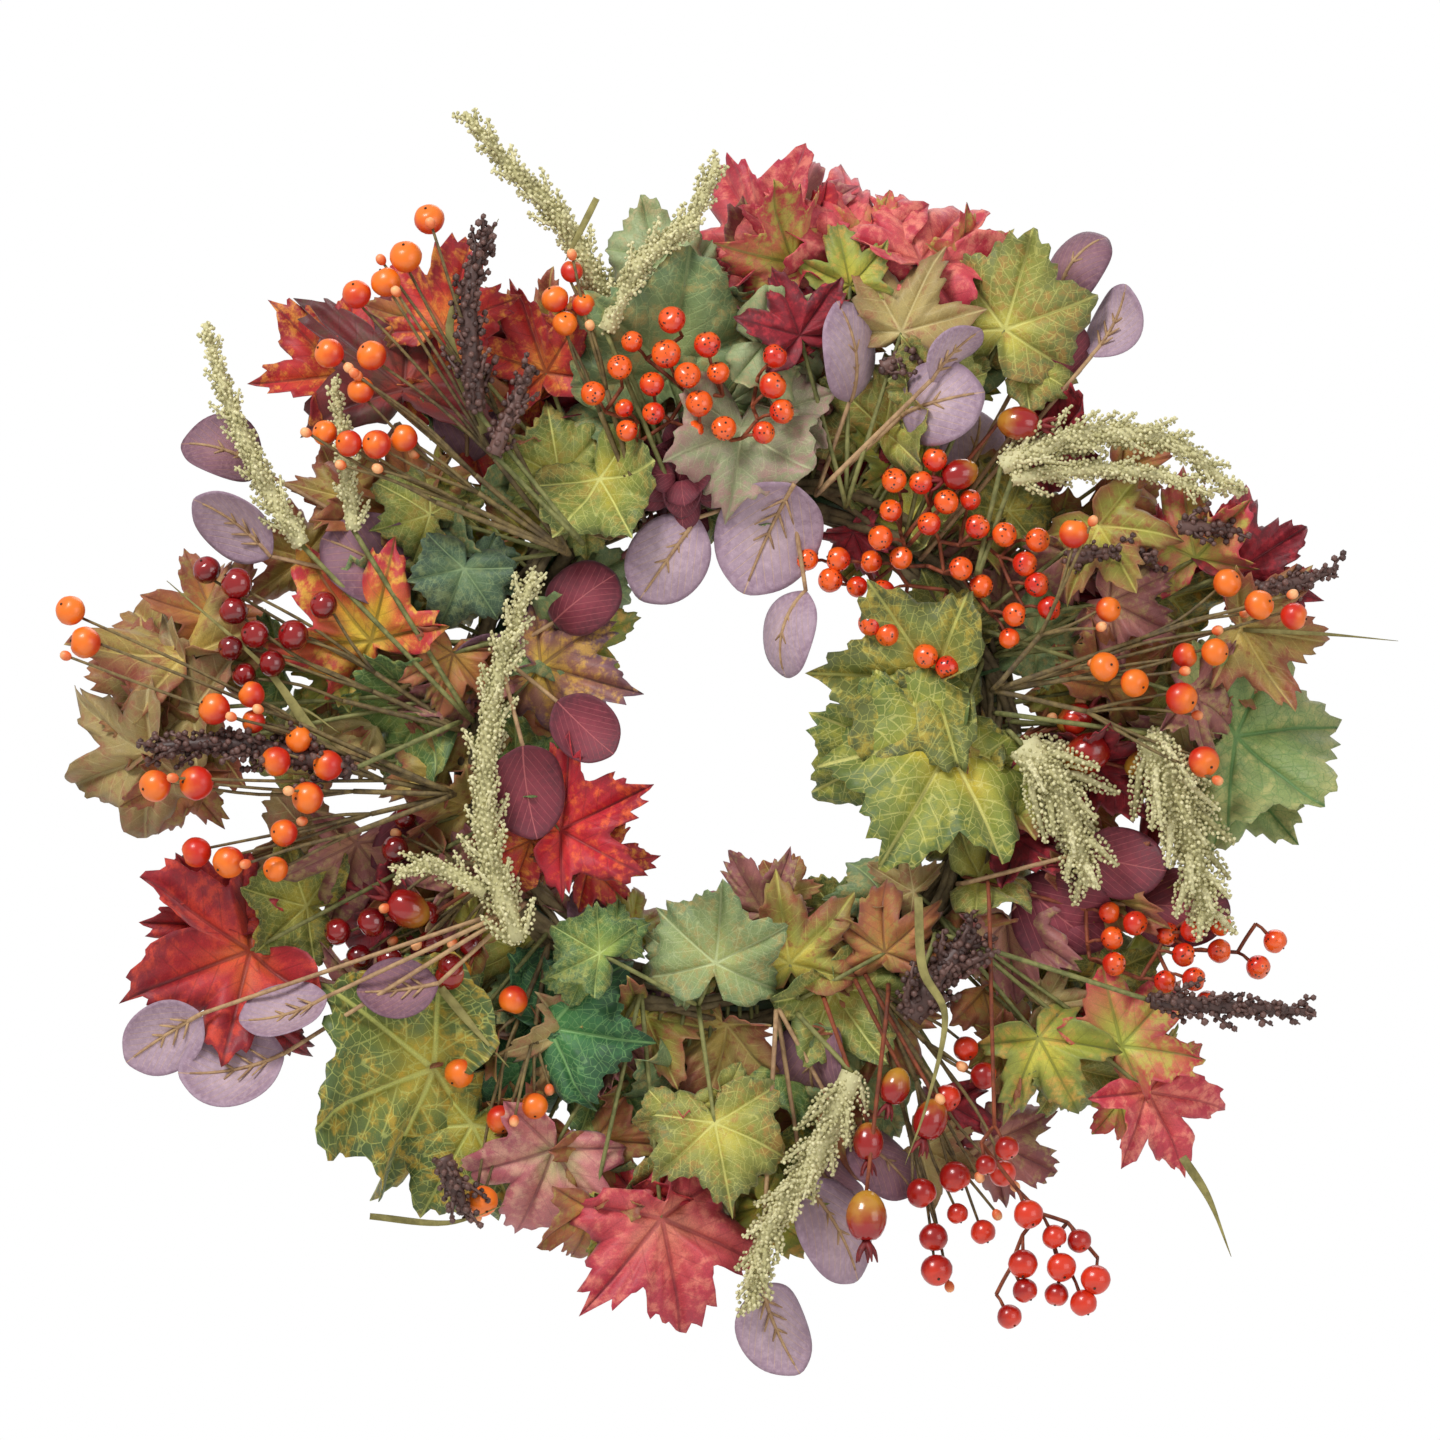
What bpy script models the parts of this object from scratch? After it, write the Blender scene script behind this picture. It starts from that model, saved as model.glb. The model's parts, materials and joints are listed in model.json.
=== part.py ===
"""Harvest door wreath: a wound twig ring with stemmed sprays of leaves, berries and seed heads.

The wreath hangs upright. +X is to the right, +Z is up, and -Y is the front. The origin is where
a door hook bears, on the underside of the ring at its top.
"""
import math

import bmesh
import bpy
from mathutils import Matrix, Vector
from mathutils.bvhtree import BVHTree

MM = 0.001

# The ring
RING_RADIUS = 119 * MM
HOOP_RADIUS = 2.6 * MM
TWIG_RADIUS = 4.3 * MM
TWIG_COUNT = 3
TWIG_TURNS = 3
TWIG_STATIONS = 36
TIE_WIRE_RADIUS = 0.9 * MM
TIE_CLOCKS = (74,)
GAP = 0.4 * MM

# The sprays
LEAF_THICKNESS = 1.2 * MM
LEAF_PITCH = 3.0 * MM
STALK_RADIUS = 1.2 * MM
STEM_RADIUS = 1.6 * MM
FORK_RADIUS = 2.4 * MM
BLADE_RADIUS = 1.3 * MM
SPRAY_CLEARANCE = 0.5 * MM
SPRAY_STEP = 1.5 * MM
SPRAY_SCALE = 1.0
FOOT_STEP = 0.8 * MM
STEM_SEARCH = 30
DEEPEST_LIFT = 110 * MM
MERGE = 0.0002 * MM
FLAT_ANGLE = math.radians(0.5)

TWIG_PITCH = HOOP_RADIUS + GAP + TWIG_RADIUS
BUNDLE_RADIUS = TWIG_PITCH + TWIG_RADIUS
HANG_DROP = RING_RADIUS - BUNDLE_RADIUS

# Half outlines, as (degrees from the tip, share of the leaf's length), mirrored about the midrib
OUTLINES = {
    "maple": ((0, 1.00), (16, 0.78), (28, 0.46), (53, 0.92), (68, 0.68), (82, 0.42), (106, 0.64),
              (155, 0.26)),
    "ivy": ((0, 1.00), (28, 0.64), (55, 0.88), (84, 0.58), (106, 0.70), (150, 0.42)),
}
ROUND_SIDES = 10
ROUND_WIDTH = 0.92

# How far a spray that can be turned by hand swivels about its own stem, each way, in degrees
SWIVELS = {
    "heather_spike_top_left": 10,
    "heather_spike_far_left": 10,
    "heather_spike_right_top": 8,
    "heather_spike_low_right": 8,
    "heather_spike_bottom": 8,
    "heather_spike_inner_left": 8,
    "orange_berry_spray_upper_left": 8,
    "orange_berry_spray_left": 6,
    "orange_berry_spray_right": 6,
    "hanging_rose_hip": 10,
    "hanging_berry_strand_long": 8,
    "hanging_berry_strand_short": 8,
}

COLOURS = {
    "twig": (0.10, 0.075, 0.045),
    "wire": (0.05, 0.08, 0.05),
    "red": (0.42, 0.03, 0.04),
    "pink": (0.50, 0.16, 0.15),
    "rust": (0.30, 0.13, 0.05),
    "olive": (0.28, 0.24, 0.05),
    "leaf_green": (0.13, 0.19, 0.05),
    "sage": (0.20, 0.28, 0.20),
    "lilac": (0.36, 0.24, 0.34),
    "burgundy": (0.22, 0.03, 0.06),
    "heather": (0.50, 0.48, 0.26),
    "sorghum": (0.07, 0.035, 0.03),
    "orange_berry": (0.80, 0.16, 0.03),
    "speckled": (0.70, 0.08, 0.02),
    "dark_berry": (0.20, 0.01, 0.015),
    "red_berry": (0.55, 0.03, 0.02),
    "rose_hip": (0.38, 0.04, 0.03),
}

# Each spray, from the back of the wreath to the front: its name, colour, the clock angle of its
# stem on the ring, and what it carries. A place on the wreath is a clock angle in degrees and a
# distance outside the ring's centre line in mm.
#   maple, ivy, round: clock, outset, length, clock angle that the tip points to, tilt to the front
#   berry: clock, outset, radius.   hip: clock, outset, radius, clock angle of its calyx
#   plume: route, width.   blade: route
SPRAYS = (
    ("maple_spray_top", "red", 6, (
        ("maple", 4, 109, 50, 325, -23),
        ("maple", 13, 107, 49, 2, -8),
        ("maple", 21, 115, 49, 35, -27),
        ("maple", 7, 100, 41, 338, 15),
    )),
    ("maple_spray_crown", "olive", 25, (
        ("maple", 14, 95, 28, 350, 19),
        ("maple", 22, 82, 38, 20, 15),
        ("maple", 9, 68, 30, 340, 19),
    )),
    ("silver_leaf_spray_crown_right", "burgundy", 45, (
        ("round", 35, 148, 18, 30, 9),
        ("round", 42, 138, 16, 60, 9),
        ("round", 40, 113, 14, 60, 11),
    )),
    ("ivy_spray_crown_right", "leaf_green", 40, (
        ("ivy", 33, 105, 44, 15, 11),
        ("ivy", 30, 67, 27, 320, 9),
    )),
    ("maple_spray_upper_left", "red", 329, (
        ("maple", 317, 101, 65, 2, -19),
        ("maple", 333, 70, 41, 340, 11),
        ("maple", 325, 110, 40, 20, -4),
    )),
    ("ivy_spray_upper_left", "leaf_green", 342, (
        ("ivy", 350, 53, 56, 12, 15),
        ("ivy", 351, 101, 30, 345, -15),
        ("ivy", 4, 62, 32, 110, -8),
    )),
    ("ivy_spray_left", "leaf_green", 317, (
        ("ivy", 307, 54, 29, 310, 9),
        ("ivy", 327, 26, 34, 350, 15),
        ("ivy", 333, 16, 36, 150, 27),
        ("ivy", 303, 27, 28, 200, 8),
    )),
    ("maple_spray_far_left", "rust", 282, (
        ("maple", 279, 134, 53, 318, -27),
        ("maple", 274, 126, 45, 285, -19),
        ("maple", 269, 144, 49, 248, -23),
    )),
    ("maple_spray_left", "red", 293, (
        ("maple", 286, 52, 49, 318, 15),
        ("maple", 288, 15, 28, 190, 9),
    )),
    ("maple_spray_inner_left", "red", 271, (
        ("maple", 292, -24, 43, 105, 8),
        ("maple", 244, -31, 44, 62, 15),
        ("maple", 245, -17, 28, 195, -8),
    )),
    ("maple_leaf_lower_left", "red", 252, (
        ("maple", 247, 120, 58, 250, 23),
    )),
    ("ivy_leaf_olive", "leaf_green", 225, (
        ("ivy", 223, 82, 68, 252, 19),
    )),
    ("ivy_leaf_dark", "leaf_green", 209, (
        ("ivy", 213, 34, 45, 100, 27),
    )),
    ("maple_spray_bottom_left", "pink", 201, (
        ("maple", 204, 82, 47, 200, 4),
        ("maple", 189, 98, 58, 165, 11),
        ("maple", 197, 101, 32, 195, -15),
    )),
    ("maple_spray_bottom", "rust", 166, (
        ("maple", 170, -41, 32, 330, 4),
        ("maple", 166, -17, 41, 352, 19),
        ("maple", 144, -3, 33, 350, 15),
    )),
    ("ivy_spray_bottom", "leaf_green", 188, (
        ("ivy", 185, -20, 37, 5, 8),
        ("ivy", 183, 52, 37, 170, 19),
        ("ivy", 213, -7, 24, 300, 9),
    )),
    ("maple_spray_lower_right", "pink", 130, (
        ("maple", 128, 103, 41, 42, 15),
        ("maple", 130, 125, 38, 150, 4),
        ("maple", 134, 72, 38, 150, 11),
    )),
    ("ivy_spray_inner_right", "leaf_green", 71, (
        ("ivy", 72, -24, 50, 272, -8),
        ("ivy", 91, -22, 60, 212, 23),
    )),
    ("ivy_leaf_far_right", "leaf_green", 85, (
        ("ivy", 89, 108, 52, 82, -11),
    )),
    ("maple_spray_far_right", "red", 71, (
        ("maple", 71, 121, 41, 58, 8),
        ("maple", 68, 106, 40, 345, 15),
        ("maple", 77, 116, 40, 100, -11),
    )),
    ("maple_spray_right", "rust", 63, (
        ("maple", 59, 73, 38, 150, 15),
        ("maple", 69, 62, 33, 118, 9),
        ("maple", 84, 87, 32, 110, -8),
    )),
    ("ivy_leaf_hanging_top", "sage", 357, (
        ("ivy", 1, 23, 40, 182, 23),
    )),
    ("silver_leaf_spray_top", "lilac", 18, (
        ("round", 17, 66, 21, 20, 19),
        ("round", 30, 59, 21, 10, 27),
        ("round", 29, 83, 14, 60, 9),
    )),
    ("silver_leaf_spray_inner_top", "lilac", 12, (
        ("round", 9, -22, 26, 210, 23),
        ("round", 340, -30, 20, 215, 8),
        ("round", 23, -64, 19, 130, 9),
    )),
    ("silver_leaf_spray_left", "lilac", 301, (
        ("round", 300, 148, 18, 320, 9),
        ("round", 294, 128, 19, 285, 9),
        ("round", 297, 66, 22, 310, 15),
    )),
    ("silver_leaf_spray_lower_left", "lilac", 233, (
        ("round", 243, 170, 18, 250, 9),
        ("round", 237, 150, 22, 245, 8),
        ("round", 234, 69, 16, 300, 15),
        ("round", 239, 117, 18, 270, 9),
    )),
    ("silver_leaf_spray_bottom", "lilac", 171, (
        ("round", 168, 106, 23, 170, 11),
        ("round", 176, 146, 20, 180, 9),
        ("round", 160, 81, 18, 150, 9),
    )),
    ("burgundy_leaf_spray_left", "burgundy", 291, (
        ("round", 314, -23, 18, 80, 27),
        ("round", 276, -51, 16, 60, 8),
        ("round", 258, -23, 20, 170, 15),
    )),
    ("burgundy_leaf_spray_right", "burgundy", 122, (
        ("round", 118, 50, 24, 135, 15),
        ("round", 110, 95, 21, 100, 4),
        ("round", 107, 64, 18, 80, -8),
    )),
    ("heather_spike_top_left", "heather", 339, (
        ("plume", ((343, 76), (343, 98), (341, 131), (338, 162), (337, 189)), 9),
    )),
    ("heather_spike_top", "heather", 346, (
        ("plume", ((343, 77), (349, 101), (355, 116), (357, 141)), 9),
    )),
    ("heather_spike_far_left", "heather", 305, (
        ("plume", ((295, 96), (299, 125), (304, 157), (309, 186)), 9),
    )),
    ("heather_spike_right_top", "heather", 57, (
        ("plume", ((44, 55), (49, 88), (55, 120), (64, 135)), 12),
    )),
    ("heather_spike_right", "heather", 93, (
        ("plume", ((91, 12), (98, 29), (111, 52)), 15),
    )),
    ("heather_spike_low_right", "heather", 104, (
        ("plume", ((89, 68), (99, 86), (110, 106)), 15),
    )),
    ("heather_spike_bottom", "heather", 161, (
        ("plume", ((160, 38), (169, 71), (176, 102), (178, 136)), 15),
    )),
    ("heather_spike_inner_left", "heather", 230, (
        ("plume", ((229, 14), (251, -1), (283, -8), (310, -1)), 14),
    )),
    ("sorghum_spike_upper_left", "sorghum", 323, (
        ("plume", ((323, 75), (329, 114), (334, 134)), 18),
        ("blade", ((320, 60), (326, 108), (335, 138))),
    )),
    ("sorghum_spike_far_left", "sorghum", 275, (
        ("plume", ((266, 59), (270, 104), (270, 144)), 20),
        ("blade", ((267, 54), (279, 95), (286, 143))),
    )),
    ("sorghum_spike_right", "sorghum", 133, (
        ("plume", ((122, 100), (118, 133), (115, 169)), 15),
        ("plume", ((146, 23), (136, 18), (128, 19)), 25),
    )),
    ("orange_berry_spray_upper_left", "orange_berry", 319, (
        ("berry", 326, 144, 7.0),
        ("berry", 323, 140, 6.5),
        ("berry", 314, 133, 6.5),
        ("berry", 317, 119, 6.5),
        ("berry", 308, 100, 6.0),
        ("berry", 310, 90, 6.5),
    )),
    ("orange_berry_spray_top", "orange_berry", 335, (
        ("berry", 341, 106, 5.0),
        ("berry", 338, 97, 6.0),
        ("berry", 341, 90, 5.0),
        ("berry", 338, 85, 5.5),
    )),
    ("orange_berry_spray_right", "orange_berry", 78, (
        ("berry", 58, 60, 6.5),
        ("berry", 70, 59, 5.5),
        ("berry", 75, 124, 6.5),
        ("berry", 77, 138, 6.0),
        ("berry", 79, 100, 6.0),
        ("berry", 78, 50, 6.5),
        ("berry", 84, 82, 7.0),
        ("berry", 92, 91, 7.0),
    )),
    ("orange_berry_spray_bottom", "orange_berry", 217, (
        ("berry", 221, 34, 6.5),
        ("berry", 220, 75, 6.5),
        ("berry", 212, 81, 6.5),
        ("berry", 209, 117, 7.0),
        ("berry", 209, 68, 6.0),
    )),
    ("speckled_berry_spray_top", "speckled", 352, (
        ("berry", 350, 59, 6.5),
        ("berry", 356, 61, 6.0),
        ("berry", 343, 58, 5.5),
        ("berry", 338, 51, 5.5),
        ("berry", 347, 47, 5.5),
        ("berry", 354, 35, 6.0),
        ("berry", 6, 43, 6.0),
        ("berry", 8, 32, 5.5),
        ("berry", 358, 23, 5.5),
        ("berry", 341, 30, 5.0),
    )),
    ("speckled_berry_spray_right", "speckled", 47, (
        ("berry", 31, 20, 5.5),
        ("berry", 35, 38, 5.5),
        ("berry", 41, 26, 5.5),
        ("berry", 35, -5, 5.5),
        ("berry", 48, 28, 5.5),
        ("berry", 52, 35, 5.5),
        ("berry", 52, 10, 5.5),
        ("berry", 58, 35, 5.5),
        ("berry", 62, 35, 5.5),
        ("berry", 65, 20, 5.5),
    )),
    ("speckled_berry_spray_inner_right", "speckled", 57, (
        ("berry", 29, -23, 5.5),
        ("berry", 30, -33, 5.5),
        ("berry", 44, -23, 5.5),
        ("berry", 51, -13, 5.5),
        ("berry", 48, -37, 5.5),
        ("berry", 54, -34, 5.5),
        ("berry", 65, -24, 5.5),
        ("berry", 70, -17, 5.5),
    )),
    ("speckled_berry_spray_low_right", "speckled", 111, (
        ("berry", 114, 79, 5.5),
        ("berry", 112, 104, 5.5),
        ("berry", 120, 79, 5.5),
        ("berry", 115, 105, 5.5),
        ("berry", 113, 119, 5.5),
        ("berry", 113, 138, 5.5),
        ("berry", 117, 114, 5.5),
    )),
    ("orange_berry_spray_left", "orange_berry", 260, (
        ("berry", 279, 176, 7.0),
        ("berry", 276, 99, 6.0),
        ("berry", 274, 115, 7.0),
        ("berry", 268, 87, 6.5),
        ("berry", 263, 74, 7.0),
        ("berry", 266, 123, 7.5),
        ("berry", 259, 87, 6.0),
        ("berry", 257, 114, 7.0),
    )),
    ("dark_berry_cluster_left", "dark_berry", 288, (
        ("berry", 288, 117, 7.0),
        ("berry", 285, 115, 6.5),
        ("berry", 283, 103, 6.5),
        ("berry", 284, 86, 7.0),
        ("berry", 280, 93, 6.0),
    )),
    ("rose_hip_spray_lower_left", "rose_hip", 242, (
        ("hip", 243, 47, 9, 300),
        ("berry", 237, 45, 6.0),
        ("berry", 244, 64, 6.5),
        ("berry", 238, 65, 6.0),
        ("berry", 253, 42, 6.0),
        ("berry", 232, 44, 6.0),
    )),
    ("rose_hip_spray_right", "rose_hip", 89, (
        ("hip", 91, 40, 9, 60),
        ("hip", 93, 68, 9, 80),
        ("hip", 86, 35, 7, 60),
    )),
    ("hanging_rose_hip", "rose_hip", 150, (
        ("hip", 164, 101, 9, 180),
    )),
    ("hanging_berry_strand_long", "red_berry", 123, (
        ("berry", 143, 68, 6.0),
        ("berry", 149, 67, 6.0),
        ("berry", 153, 100, 7.0),
        ("berry", 159, 135, 7.0),
        ("berry", 153, 128, 5.5),
        ("berry", 148, 109, 6.0),
    )),
    ("hanging_berry_strand_short", "red_berry", 117, (
        ("berry", 146, 99, 5.5),
        ("berry", 148, 129, 6.5),
        ("berry", 147, 144, 5.5),
        ("berry", 151, 147, 6.5),
        ("berry", 148, 157, 6.5),
        ("berry", 146, 170, 6.5),
        ("berry", 152, 158, 5.5),
        ("berry", 148, 176, 6.0),
    )),
)


def place(clock, outset, lift=0.0):
    """A point by clock angle and distance outside the ring's centre line, lifted to the front."""
    radius = RING_RADIUS + outset * MM
    turn = math.radians(clock)
    return Vector((radius * math.sin(turn), -lift, radius * math.cos(turn)))


def heading_matrix(point, heading, tilt):
    """Stand a flat outline up at a point: its Y runs along the heading, its Z to the front."""
    turn = math.radians(heading)
    lean = math.radians(tilt)
    side = Vector((math.cos(turn), 0, -math.sin(turn)))
    along = Vector((math.sin(turn), 0, math.cos(turn))) * math.cos(lean)
    along += Vector((0, -1, 0)) * math.sin(lean)
    front = side.cross(along)
    matrix = Matrix((side, along, front)).transposed().to_4x4()
    matrix.translation = point
    return matrix


def curve_mesh(curve_data):
    """A curve's mesh, with its caps welded on."""
    curve_object = bpy.data.objects.new("shape", curve_data)
    bpy.context.scene.collection.objects.link(curve_object)
    graph = bpy.context.evaluated_depsgraph_get()
    mesh = bpy.data.meshes.new_from_object(curve_object.evaluated_get(graph))
    bpy.data.objects.remove(curve_object)
    bpy.data.curves.remove(curve_data)
    bm = bmesh.new()
    bm.from_mesh(mesh)
    bmesh.ops.remove_doubles(bm, verts=bm.verts, dist=1e-6)
    bmesh.ops.recalc_face_normals(bm, faces=bm.faces)
    bm.to_mesh(mesh)
    bm.free()
    return mesh


def tube(points, radii, resolution=1, closed=False):
    """A round wire along points, with a radius at each one."""
    curve = bpy.data.curves.new("tube", "CURVE")
    curve.dimensions = "3D"
    curve.bevel_depth = 1.0
    curve.bevel_resolution = resolution
    curve.use_fill_caps = not closed
    spline = curve.splines.new("POLY")
    spline.points.add(len(points) - 1)
    spline.use_cyclic_u = closed
    for knot, point, radius in zip(spline.points, points, radii):
        knot.co = (*point, 1)
        knot.radius = radius
    return curve_mesh(curve)


def plate(outline, thickness):
    """A flat outline with a thickness."""
    curve = bpy.data.curves.new("plate", "CURVE")
    curve.dimensions = "2D"
    curve.fill_mode = "BOTH"
    curve.extrude = thickness / 2
    spline = curve.splines.new("POLY")
    spline.points.add(len(outline) - 1)
    spline.use_cyclic_u = True
    for knot, (across, along) in zip(spline.points, outline):
        knot.co = (across, along, 0, 1)
    return curve_mesh(curve)


def ball(point, radius, stretch=1.0, heading=0):
    """A berry, a hip or a fork, stretched along its heading."""
    bm = bmesh.new()
    bmesh.ops.create_icosphere(bm, subdivisions=1, radius=radius)
    matrix = heading_matrix(point, heading, 0) @ Matrix.Rotation(math.radians(83), 4, "X")
    bmesh.ops.scale(bm, vec=(1, 1, stretch), verts=bm.verts)
    bmesh.ops.transform(bm, matrix=matrix, verts=bm.verts)
    mesh = bpy.data.meshes.new("ball")
    bm.to_mesh(mesh)
    bm.free()
    return mesh


def wire(start, end, radius, sides=3):
    """A straight piece of thin stem wire."""
    along = end - start
    matrix = along.to_track_quat("Z", "Y").to_matrix().to_4x4()
    matrix.translation = (start + end) / 2
    bm = bmesh.new()
    bmesh.ops.create_cone(bm, cap_ends=True, segments=sides, radius1=radius, radius2=radius,
                          depth=along.length, matrix=matrix)
    mesh = bpy.data.meshes.new("wire")
    bm.to_mesh(mesh)
    bm.free()
    return mesh


def lobed_outline(kind, length):
    half = [(math.radians(turn), share * length) for turn, share in OUTLINES[kind]]
    right = [(reach * math.sin(turn), reach * math.cos(turn)) for turn, reach in half]
    left = [(-across, along) for across, along in right[:0:-1]]
    return left + right


def round_outline(length):
    turns = [2 * math.pi * step / ROUND_SIDES for step in range(ROUND_SIDES)]
    return [(ROUND_WIDTH * length * math.sin(turn), length * math.cos(turn)) for turn in turns]


def leaf(kind, order, grow, clock, outset, length, heading, tilt):
    """A leaf's blade and the point where its stalk meets it."""
    size = length * MM * SPRAY_SCALE
    centre = place(clock, outset, order * LEAF_PITCH)
    outline = round_outline(size) if kind == "round" else lobed_outline(kind, size)
    matrix = heading_matrix(centre, heading, tilt)
    mesh = plate(outline, LEAF_THICKNESS + 2 * grow)
    mesh.transform(matrix)
    root = matrix @ Vector((0, -0.85 * size, 0)) if kind == "round" else centre
    return [mesh], root


def berry(grow, clock, outset, radius):
    centre = place(clock, outset, radius * MM)
    return [ball(centre, radius * MM * SPRAY_SCALE + grow)], centre


def hip(grow, clock, outset, radius, heading):
    """A rose hip with its pointed calyx."""
    centre = place(clock, outset, radius * MM)
    size = radius * MM * SPRAY_SCALE
    body = ball(centre, 0.78 * size + grow, 1.25, heading)
    along = heading_matrix(Vector(), heading, 0) @ Vector((0, 1, 0))
    ends = [centre + along * size * 0.7, centre + along * size * 1.7]
    calyx = tube(ends, [0.3 * size + grow, 0.5 * size + grow])
    return [body, calyx], centre - along * size * 0.6


def smooth_route(route, lift, steps=2):
    """A smooth curve through a route's points."""
    knots = [place(clock, outset, lift) for clock, outset in route]
    knots = [2 * knots[0] - knots[1]] + knots + [2 * knots[-1] - knots[-2]]
    points = []
    for before, start, end, after in zip(knots, knots[1:], knots[2:], knots[3:]):
        for step in range(steps):
            t = step / steps
            bend = 2 * before - 5 * start + 4 * end - after
            twist = 3 * start - before - 3 * end + after
            points.append((2 * start + (end - before) * t + bend * t ** 2 + twist * t ** 3) / 2)
    return points + [knots[-2]]


def plume(grow, route, width):
    """A seed head: thickest near its foot, tapering to its tip."""
    radius = width / 2 * MM * SPRAY_SCALE
    points = smooth_route(route, radius)
    last = len(points) - 1
    swell = [0.45 + 0.55 * math.sin(math.pi * (0.18 + 0.74 * step / last)) for step in range(last + 1)]
    return [tube(points, [radius * share + grow for share in swell], 1)], points[0]


def blade(grow, route):
    """A grass blade."""
    points = smooth_route(route, BLADE_RADIUS)
    last = len(points) - 1
    radii = [BLADE_RADIUS * (1 - 0.6 * step / last) + grow for step in range(last + 1)]
    return [tube(points, radii, 0)], points[0]


def carried_piece(order, grow, kind, *values):
    """The meshes of one thing that a spray carries, and where its stalk joins it."""
    if kind in ("maple", "ivy", "round"):
        return leaf(kind, order, grow, *values)
    makers = {"berry": berry, "hip": hip, "plume": plume, "blade": blade}
    return makers[kind](grow, *values)


def stalks(fork, roots):
    """Stalks from the fork to each thing that the spray carries."""
    return [wire(fork, root, STALK_RADIUS) for root in roots] + [ball(fork, FORK_RADIUS)]


def stem(fork, foot):
    """The stem from the fork back to its foot among the twigs."""
    return wire(Vector((fork.x, -foot, fork.z)), fork, STEM_RADIUS, 5)


def tree_of(shapes):
    """A search tree over (vertices, faces) pairs."""
    vertices = []
    faces = []
    for points, polygons in shapes:
        base = len(vertices)
        vertices += points
        faces += [[base + index for index in polygon] for polygon in polygons]
    return BVHTree.FromPolygons(vertices, faces)


def shapes_of(meshes):
    """Meshes as (vertices, faces) pairs."""
    return [([vertex.co.copy() for vertex in mesh.vertices],
             [tuple(polygon.vertices) for polygon in mesh.polygons]) for mesh in meshes]


def swivel_angles(name):
    """The angles that a spray turns through, close enough together to miss nothing."""
    limit = SWIVELS.get(name, 0)
    if not limit:
        return (0,)
    steps = 5
    return tuple(limit * step / steps for step in range(-steps, steps + 1))


def stem_places(clock):
    """Places on the ring where a spray's stem may stand, the nearest to its own first."""
    for turn in range(0, STEM_SEARCH + 1, 3):
        for side in ((1,) if turn == 0 else (1, -1)):
            for outset in (0, 5, -5, 9, -9):
                yield clock + side * turn, outset


def rod(start, end, radius):
    """A straight wire as plain (vertices, faces), for trying a place."""
    along = (end - start).normalized()
    side = along.orthogonal().normalized()
    up = along.cross(side)
    turns = [2 * math.pi * step / 6 for step in range(6)]
    rim = [(side * math.cos(turn) + up * math.sin(turn)) * radius for turn in turns]
    vertices = [start + offset for offset in rim] + [end + offset for offset in rim]
    faces = [(step, (step + 1) % 6, 6 + (step + 1) % 6, 6 + step) for step in range(6)]
    return vertices, faces + [tuple(range(6)), tuple(range(6, 12))]


def foot_lift(fork, obstacles):
    """How deep the stem's foot goes in among the twigs."""
    lift = BUNDLE_RADIUS - TWIG_RADIUS
    while lift < BUNDLE_RADIUS + 2 * GAP:
        foot = Vector((fork.x, -lift, fork.z))
        if not tree_of([rod(foot, fork, STEM_RADIUS + GAP)]).overlap(obstacles):
            return lift
        lift += FOOT_STEP
    return None


def moved(shapes, axis_point, angles, lift):
    """Shapes turned about a stem's axis to each angle, and lifted to the front."""
    copies = []
    for angle in angles:
        move = Matrix.Translation((0, -lift, 0))
        if angle:
            move = move @ Matrix.Translation(axis_point)
            move = move @ Matrix.Rotation(math.radians(angle), 4, "Y")
            move = move @ Matrix.Translation(-axis_point)
        copies += [([move @ point for point in points], faces) for points, faces in shapes]
    return copies


def settle(name, clock, carried, obstacles):
    """Lay a spray on the wreath, as far back as it goes without touching what lies there."""
    angles = swivel_angles(name)
    grown = [carried_piece(order, SPRAY_CLEARANCE, *item) for order, item in enumerate(carried)]
    blades = shapes_of([mesh for meshes, root in grown for mesh in meshes])
    roots = [root for meshes, root in grown]
    lift = BUNDLE_RADIUS + FORK_RADIUS + GAP
    while lift < DEEPEST_LIFT:
        if not tree_of(moved(blades, Vector(), (0,), lift)).overlap(obstacles):
            for turn, outset in stem_places(clock):
                fork = place(turn, outset)
                foot = foot_lift(place(turn, outset, lift), obstacles)
                if foot is None:
                    continue
                wires = [rod(fork, root, STALK_RADIUS + SPRAY_CLEARANCE) for root in roots]
                wires += shapes_of([ball(fork, FORK_RADIUS + SPRAY_CLEARANCE)])
                tried = wires if len(angles) == 1 else wires + blades
                if not tree_of(moved(tried, fork, angles, lift)).overlap(obstacles):
                    return fork, lift, foot
        lift += SPRAY_STEP
    raise ValueError(f"{name} finds no free place for its stem")


def material(name):
    """A plain finish in a spray's or a twig's colour."""
    finish = bpy.data.materials.get(name) or bpy.data.materials.new(name)
    finish.use_nodes = True
    shader = finish.node_tree.nodes["Principled BSDF"]
    shader.inputs["Base Color"].default_value = (*COLOURS[name], 1)
    shader.inputs["Roughness"].default_value = 0.25 if "berry" in name or "hip" in name else 0.7
    return finish


def add_node(name, mesh, colour, origin, centre, wreath):
    """A named sub-part, with its origin where it is held."""
    mesh.transform(Matrix.Translation(-origin))
    node = bpy.data.objects.new(name, mesh)
    node.location = origin
    node.parent = centre
    mesh.materials.clear()
    mesh.materials.append(material(colour))
    mesh.shade_smooth()
    mesh.set_sharp_from_angle(angle=math.radians(35))
    wreath.objects.link(node)
    return node


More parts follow.
